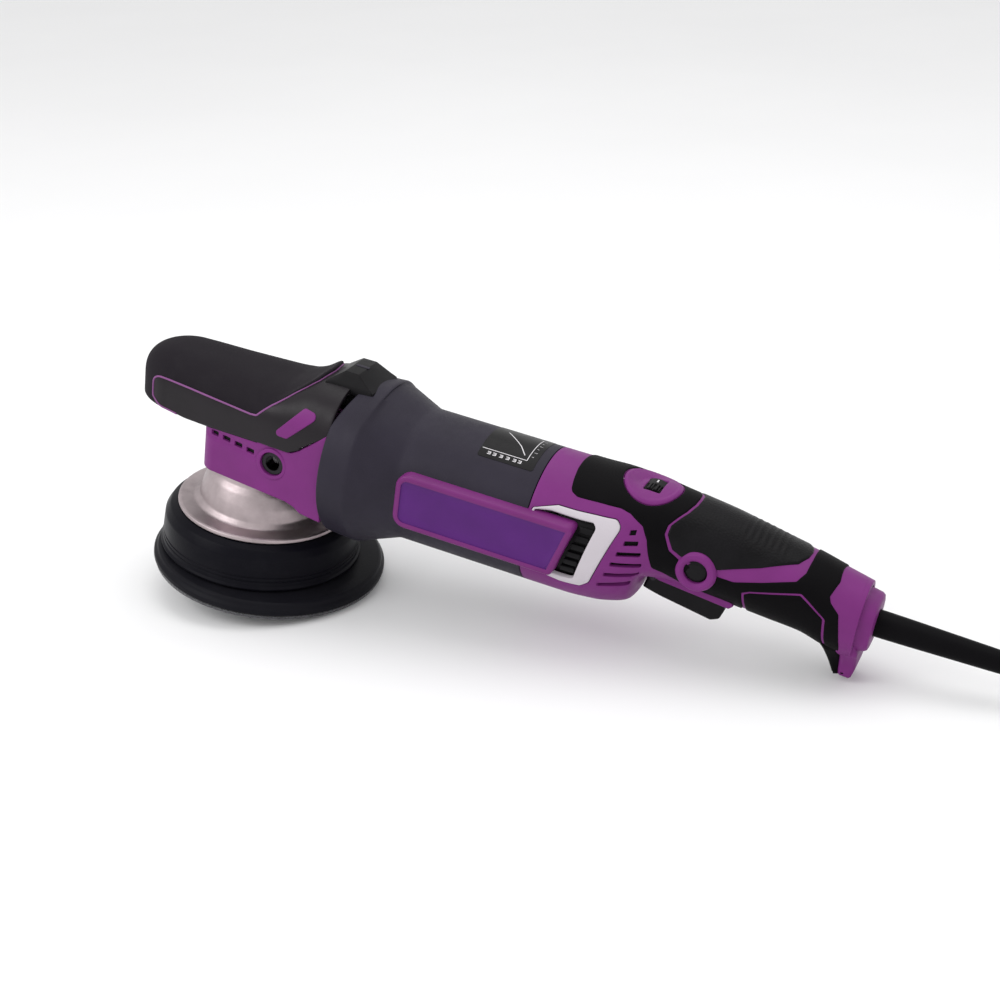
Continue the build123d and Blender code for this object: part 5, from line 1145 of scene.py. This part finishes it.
def slot_loop():
    """Opening of the frame: the panel's end and the grille's slot."""
    points = [at_z(162.2, 97.0, 0.4), at_z(170, 98.4, 2), at_z(192.2, 98.8, 2.0),
              at_z(194.2, 96.8, 1.4), at_z(187.3, 67.4, 2.0), at_z(185.6, 66.6, 1.4),
              at_z(176.0, 66.8, 0.6), at_z(176.0, 69.0, 0.4), at_z(162.2, 69.0, 0.4)]
    return spaced(rounded(points, 1.0), 0.8)


def make_bezel():
    """Oval bezel: raised lip, scooped bowl and the opening of the thumbwheel."""
    open_x, open_y = (DIAL_X - 4.2, DIAL_X + 4.4), DIAL_HALF + 1.6
    mouth = []
    for x, y in ((open_x[0], -open_y), (open_x[1], -open_y), (open_x[1], open_y),
                 (open_x[0], open_y)):
        half = float(eased(x, HANDLE[:, 0], HANDLE[:, 1]))
        mouth.append((x, degrees(np.arcsin(y / half)) * DEGREE))
    mouth = spaced(rounded(mouth, 0.5), 0.6)

    def bowl(flat):
        x = flat[:, 0] - (DIAL_X - 1)
        half = eased(flat[:, 0], HANDLE[:, 0], HANDLE[:, 1])
        y = half * np.sin(np.radians(flat[:, 1] / DEGREE))
        out = np.hypot(x / 14.8, y / 16.4)
        rise = np.clip((0.98 - out) / 0.2, 0, 1)
        inner = np.clip((0.8 - out) / 0.35, 0, 1)
        bowl_deep = -1.7 * np.clip(-(x + y * 0.4) / 9.0 + 0.35, 0, 1) * inner
        dip = 0.5 * np.clip((0.72 - out) / 0.3, 0, 1)
        return 0.25 + 0.5 * np.sin(rise * pi) ** 2 + bowl_deep - dip
    mesh = patch_mesh(bezel_loop(-0.15), handle_skin, edge(0.7, 2.0), [mouth], spacing=0.7,
                      height=bowl)
    piece("bezel", *mesh[:2], "housing", [PURPLE], ["dial_bezel"], "purple", crease=60)


def make_dial():
    """Thumbwheel: ribbed near half, smooth far half with plain marks."""
    count, rows = 120, []
    around = 2 * pi * np.arange(count) / count
    tooth = 0.5 + 0.5 * np.sign(np.sin(around * 30))
    for y, r, ribbed in ((-6.0, 2.2, 0), (-6.0, 8.6, 1), (-5.7, 9.0, 1), (-0.4, 9.0, 1),
                         (-0.2, 8.7, 0), (0.1, 8.9, 0), (5.7, 8.9, 0), (6.0, 8.6, 0),
                         (6.0, 2.2, 0)):
        radius = r - (0.75 * tooth if ribbed and r > 3 else 0)
        rows.append(np.c_[DIAL_X + radius * np.cos(around), np.full(count, y),
                          DIAL_Z + radius * np.sin(around)])
    faces = grid_faces(len(rows), count, wrap=True)
    last = (len(rows) - 1) * count
    faces += [(last + c, last + (c + 1) % count, (c + 1) % count, c) for c in range(count)]
    piece("thumbwheel", np.vstack(rows), [tuple(reversed(f)) for f in faces], "speed_dial",
          [BLACK], ["speed_dial"], "black_plastic", crease=25)
    figures = []
    for k in range(6):
        turn = radians(90 + (k - 2) * 45)
        bar = []
        for dy, da in ((1.6, -0.5), (4.4, -0.5), (4.4, 0.5), (1.6, 0.5)):
            angle = turn + radians(da * (3.2 if k % 2 else 5.0))
            bar.append((DIAL_X + 8.96 * cos(angle), dy, DIAL_Z + 8.96 * sin(angle)))
        figures.append((np.array(bar), [(0, 1, 2, 3)], [0]))
    points, faces, _ = joined(*figures)
    piece("wheel_marks", points, faces, "speed_dial", [INK], (), "white_plastic")


def make_lock_button():
    """Ring on the left side, and the domed button in it."""
    ring = rounded([(BUTTON_R + 0.25, -4.0, 0), (BUTTON_R + 0.25, 0.2, 0.8), (7.4, 1.1, 1.2),
                    (9.2, 0.9, 1.2), (RING_R, -0.6, 1.0), (RING_R + 0.1, -4.0, 0)], 0.5, step=10)

    def turned_out(profile):
        points, faces, _ = turned(profile, count=96)
        return np.c_[points[:, 0] + BUTTON_X, -(points[:, 2] + BUTTON_FACE),
                     points[:, 1] + BUTTON_Z], faces
    piece("lock_ring", *turned_out(ring), "housing", [PURPLE], (), "purple", crease=50)
    cap = rounded([(0.02, -5.0, 0), (BUTTON_R, -5.0, 0), (BUTTON_R, -0.9, 1.0),
                   (BUTTON_R - 1.6, -0.35, 1.5), (0.02, 0.0, 0)], 0.5, step=10)
    piece("lock_cap", *turned_out(cap), "lock_button", [BLACK], ["lock_button"],
          "black_plastic", crease=50)


def make_trigger():
    """Paddle trigger with soft edges, a little narrower towards its tip."""
    side = [(218.6, 72.6, 1), (217.6, 66.5, 2), (216.4, 61.6, 0.8), (219.5, 60.7, 2),
            (226.0, 59.2, 4), (252.8, 55.0, 2.2), (257.0, 57.0, 2.0), (258.6, 62.0, 3),
            (259.0, 66.6, 3), (258.2, 72.0, 1)]
    mesh = slab_mesh(spaced(rounded(side, 2), 1.2), -9.0, 9.0, 1.7, spacing=2.2)
    piece("trigger_shape", *mesh[:2], "trigger", [BLACK], ["trigger"], "black_plastic",
          crease=60)


def make_rails():
    """Purple rails of the shell on both sides above the trigger."""
    side = rounded([(218.4, 75.6, 1), (219.2, 72.8, 1.5), (226.0, 71.0, 4), (261.6, 67.7, 1.0),
                    (263.8, 69.8, 1.0), (261.6, 73.2, 0.8), (228.0, 76.6, 2)], 1.0)
    mesh = slab_mesh(spaced(side, 1.0), -14.6, -9.3, 0.7, spacing=1.8)
    piece("rails", *both_sides(mesh)[:2], "housing", [PURPLE], (), "purple", crease=50)


def make_end_cap():
    """Rear of the handle: purple boss in two steps, and the stop below, black in front."""
    count = 96

    def ring(x, half, low, high, power):
        angle = np.linspace(0, 2 * pi, count, endpoint=False)
        c, s = np.cos(angle), np.sin(angle)
        y = half * np.sign(s) * np.abs(s) ** power
        z = (low + high) / 2 + (high - low) / 2 * np.sign(c) * np.abs(c) ** power
        return np.c_[np.full(count, x), -y, z]
    stations = [(316.0, 19.6, 57.5, 97.6, 1.0), (320.8, 19.2, 57.0, 97.0, 1.0),
                (321.9, 18.5, 57.6, 96.1, 1.0), (322.4, 17.4, 59.6, 94.4, 0.95),
                (322.5, 16.0, 63.6, 92.2, 0.8), (323.0, 15.6, 63.8, 91.6, 0.7),
                (328.0, 15.0, 64.8, 90.4, 0.66), (329.3, 14.3, 65.6, 89.5, 0.66),
                (329.7, 13.2, 66.8, 88.2, 0.7), (329.7, 7.2, 70.3, 84.7, 1.0),
                (328.0, 6.9, 70.6, 84.4, 1.0)]
    rows = [ring(*station) for station in stations]
    faces = [tuple(reversed(f)) for f in grid_faces(len(rows), count, wrap=True)]
    piece("cord_boss", np.vstack(rows), faces, "housing", [PURPLE], (), "purple", crease=40)

    def narrow(x, z, y):
        gusset = np.clip((z - 52.0) / 12.0, 0, 1)
        return y * (0.9 + 0.1 * np.clip((z - 46) / 20.0, 0, 1) + 0.45 * gusset ** 2)
    fin = [(316.9, 70.0, 0), (318.0, 52.0, 2), (318.4, 49.2, 0.6), (319.6, 48.2, 1.2),
           (324.8, 48.0, 1.6), (326.2, 54.0, 6), (326.0, 65.0, 4), (323.6, 70.0, 0)]
    mesh = slab_mesh(spaced(rounded(fin, 2), 1.2), -9.8, 9.8, 1.6, across=narrow, spacing=2.2)
    piece("stop_rear", *mesh[:2], "housing", [PURPLE], (), "purple", crease=60)
    front = [(306.5, 67.0, 0), (310.6, 58.6, 5), (314.6, 51.0, 3), (315.6, 49.0, 1.2),
             (317.0, 48.3, 1.0), (319.0, 48.4, 0.6), (318.4, 54.0, 2), (317.4, 70.0, 0)]
    mesh = slab_mesh(spaced(rounded(front, 2), 1.2), -10.2, 10.2, 2.4, across=narrow,
                     spacing=2.2)
    piece("stop_front", *mesh[:2], "housing", [RUBBER], (), "soft_black", crease=60)


# ---- cord -----------------------------------------------------------------------------------
CORD_R = 0.004
GUARD_END = 391.0
# the lead on the floor, in millimetres of the finished frame, as in the CAD source
LEAD = [(300, -2, 8.5), (326, -8, 4.6), (352, -22, 4.2), (380, -42, 4.6), (410, -56, 5.6)]
COIL_CENTRE = (420.0, 0.0)
COIL_RADII = (32.0, 40.0, 48.0, 56.0)
COIL_LAYERS = (5.6, 13.6, 21.6, 29.6)
PLUG_Z, PLUG_Y, PLUG_START = 12.0, 56.0, 404.0


def cord_route():
    """Lead, coil and plug end as the control points of one spline, in millimetres."""
    exit_point = placed([(GUARD_END, 0, CORD_Z)])[0] * 1000
    direction = placed([(GUARD_END + 1, 0, CORD_Z)])[0] * 1000 - exit_point
    route = [tuple(exit_point), tuple(exit_point + direction * 22)] + LEAD
    steps = 14
    angle = radians(-100)
    turn = 2 * pi / steps
    for layer, z in enumerate(COIL_LAYERS):
        radii = COIL_RADII[::-1] if layer % 2 == 0 else COIL_RADII
        for number, radius in enumerate(radii):
            if layer == len(COIL_LAYERS) - 1 and number > 1:
                break
            following = radii[min(number + 1, len(radii) - 1)]
            for k in range(steps):
                ease = np.clip((k - steps * 0.6) / (steps * 0.4), 0, 1)
                r = radius + (following - radius) * ease
                route.append((COIL_CENTRE[0] + r * cos(angle), COIL_CENTRE[1] + r * sin(angle),
                              z))
                angle += turn
    return route


def make_cord():
    """The 4 m cord: one smooth spline from the guard, through the coil, to the plug."""
    route = cord_route()
    route += [(452, 48, 26), (440, 60, 16), (424, 58, PLUG_Z), (PLUG_START, PLUG_Y, PLUG_Z)]
    curve = bpy.data.curves.new("mains_cord", "CURVE")
    curve.dimensions = "3D"
    spline = curve.splines.new("NURBS")
    spline.points.add(len(route) - 1)
    for point, place in zip(spline.points, route):
        point.co = (*[v / 1000 for v in place], 1)
    spline.order_u = 3
    spline.use_endpoint_u = True
    spline.resolution_u = 8
    curve.bevel_depth = CORD_R
    curve.bevel_resolution = 4
    curve.use_fill_caps = True
    curve.materials.append(CORD)
    cord = bpy.data.objects.new("mains_cord", curve)
    bpy.context.collection.objects.link(cord)
    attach(cord, "housing")
    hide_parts("cord_lead", "cord_coil")
    tuple(placed([(GUARD_END, 0, CORD_Z)])[0])
    make_guard()
    return cord


def make_guard():
    """Tapered strain relief with a flange at the boss."""
    points, faces, _ = turned([(4.0, 326.0), (6.7, 326.0), (6.7, 333.0), (6.5, 345.0),
                                   (6.1, 362.0), (5.6, 384.0), (5.4, 390.2), (5.0, 391.0),
                                   (4.0, 391.0)], (0.0, CORD_Z), upright=False, count=64)
    return piece("strain_relief", points, faces, "housing", [CORD], ["cord_guard"], "cord",
                 crease=50)


# ---- stage ----------------------------------------------------------------------------------
VIEW_AZIMUTH, VIEW_HEIGHT, VIEW_ROLL = 19.4, 27.9, 8.3      # degrees, in the tool's frame
VIEW_DISTANCE = 900.0       # millimetres
VIEW_LENS = 1.771           # focal length, as a share of the picture's width
VIEW_OFFSET = (0.025, 0.042)    # target's place right of and below the middle, likewise
VIEW_TARGET = (150.0, 0.0, 60.0)
SENSOR = 36.0


def make_camera():
    """Camera at the photograph's angle, worked out in the tool's frame."""
    a, e, roll = (radians(v) for v in (VIEW_AZIMUTH, VIEW_HEIGHT, VIEW_ROLL))
    back = np.array((sin(a) * cos(e), -cos(a) * cos(e), sin(e)))
    right = np.array((cos(a), sin(a), 0.0))
    up = np.cross(back, right)
    right, up = cos(roll) * right + sin(roll) * up, cos(roll) * up - sin(roll) * right
    shift_x, shift_y = (share / VIEW_LENS * VIEW_DISTANCE for share in VIEW_OFFSET)
    eye = np.array(VIEW_TARGET) + back * VIEW_DISTANCE - right * shift_x + up * shift_y
    data = bpy.data.cameras.new("camera")
    data.sensor_width = SENSOR
    data.lens = VIEW_LENS * SENSOR
    data.clip_start = 0.05
    camera = bpy.data.objects.new("camera", data)
    bpy.context.collection.objects.link(camera)
    axes = np.array([right, up, back]) @ TOOL_AXES
    matrix = np.eye(4)
    matrix[:3, :3] = axes.T
    matrix[:3, 3] = placed([eye])[0]
    camera.matrix_world = Matrix(matrix.tolist())
    bpy.context.scene.camera = camera


def area_light(name, place, target, size, power, colour=(1, 1, 1)):
    data = bpy.data.lights.new(name, "AREA")
    data.shape = "RECTANGLE"
    data.size, data.size_y = size
    data.energy = power
    data.color = colour
    light = bpy.data.objects.new(name, data)
    bpy.context.collection.objects.link(light)
    light.location = place
    light.rotation_euler = (Vector(target) - Vector(place)).to_track_quat("-Z", "Y").to_euler()


def make_stage():
    """Pale floor and soft studio light."""
    world = bpy.data.worlds.new("studio")
    world.use_nodes = True
    background = world.node_tree.nodes["Background"]
    background.inputs["Color"].default_value = (1.0, 1.0, 1.0, 1)
    background.inputs["Strength"].default_value = 0.9
    bpy.context.scene.world = world
    bpy.context.scene.view_settings.view_transform = "Standard"
    area_light("key", (-0.75, -0.75, 0.95), (-0.02, 0, 0.05), (0.7, 0.7), 6.0)
    area_light("top", (0.1, 0.25, 1.3), (0.0, 0, 0.05), (1.4, 1.0), 6.0)
    bpy.ops.mesh.primitive_plane_add(size=8.0, location=(0, 0, 0))
    floor = bpy.context.object
    floor.name = "floor"
    material, nodes, links, base, place = shader("floor", (0.86, 0.86, 0.865), 0.75, 0.3)
    tone = noise(nodes, links, place, 2.0)
    links.new(two_tone(nodes, links, tone, (0.85, 0.85, 0.855), (0.87, 0.87, 0.875)),
              base.inputs["Base Color"])
    floor.data.materials.append(material)


make_camera()
make_stage()
dress_frame()
make_cord()
make_plate()
make_shroud()
make_gear_case()
make_palm_grip()
make_deck()
make_badge()
make_block()
make_cover()
make_housing()
make_panels()
make_label()
make_shells()
make_frames()
make_overmould()
make_grips()
make_bezel()
make_dial()
make_lock_button()
make_trigger()
make_rails()
make_end_cap()
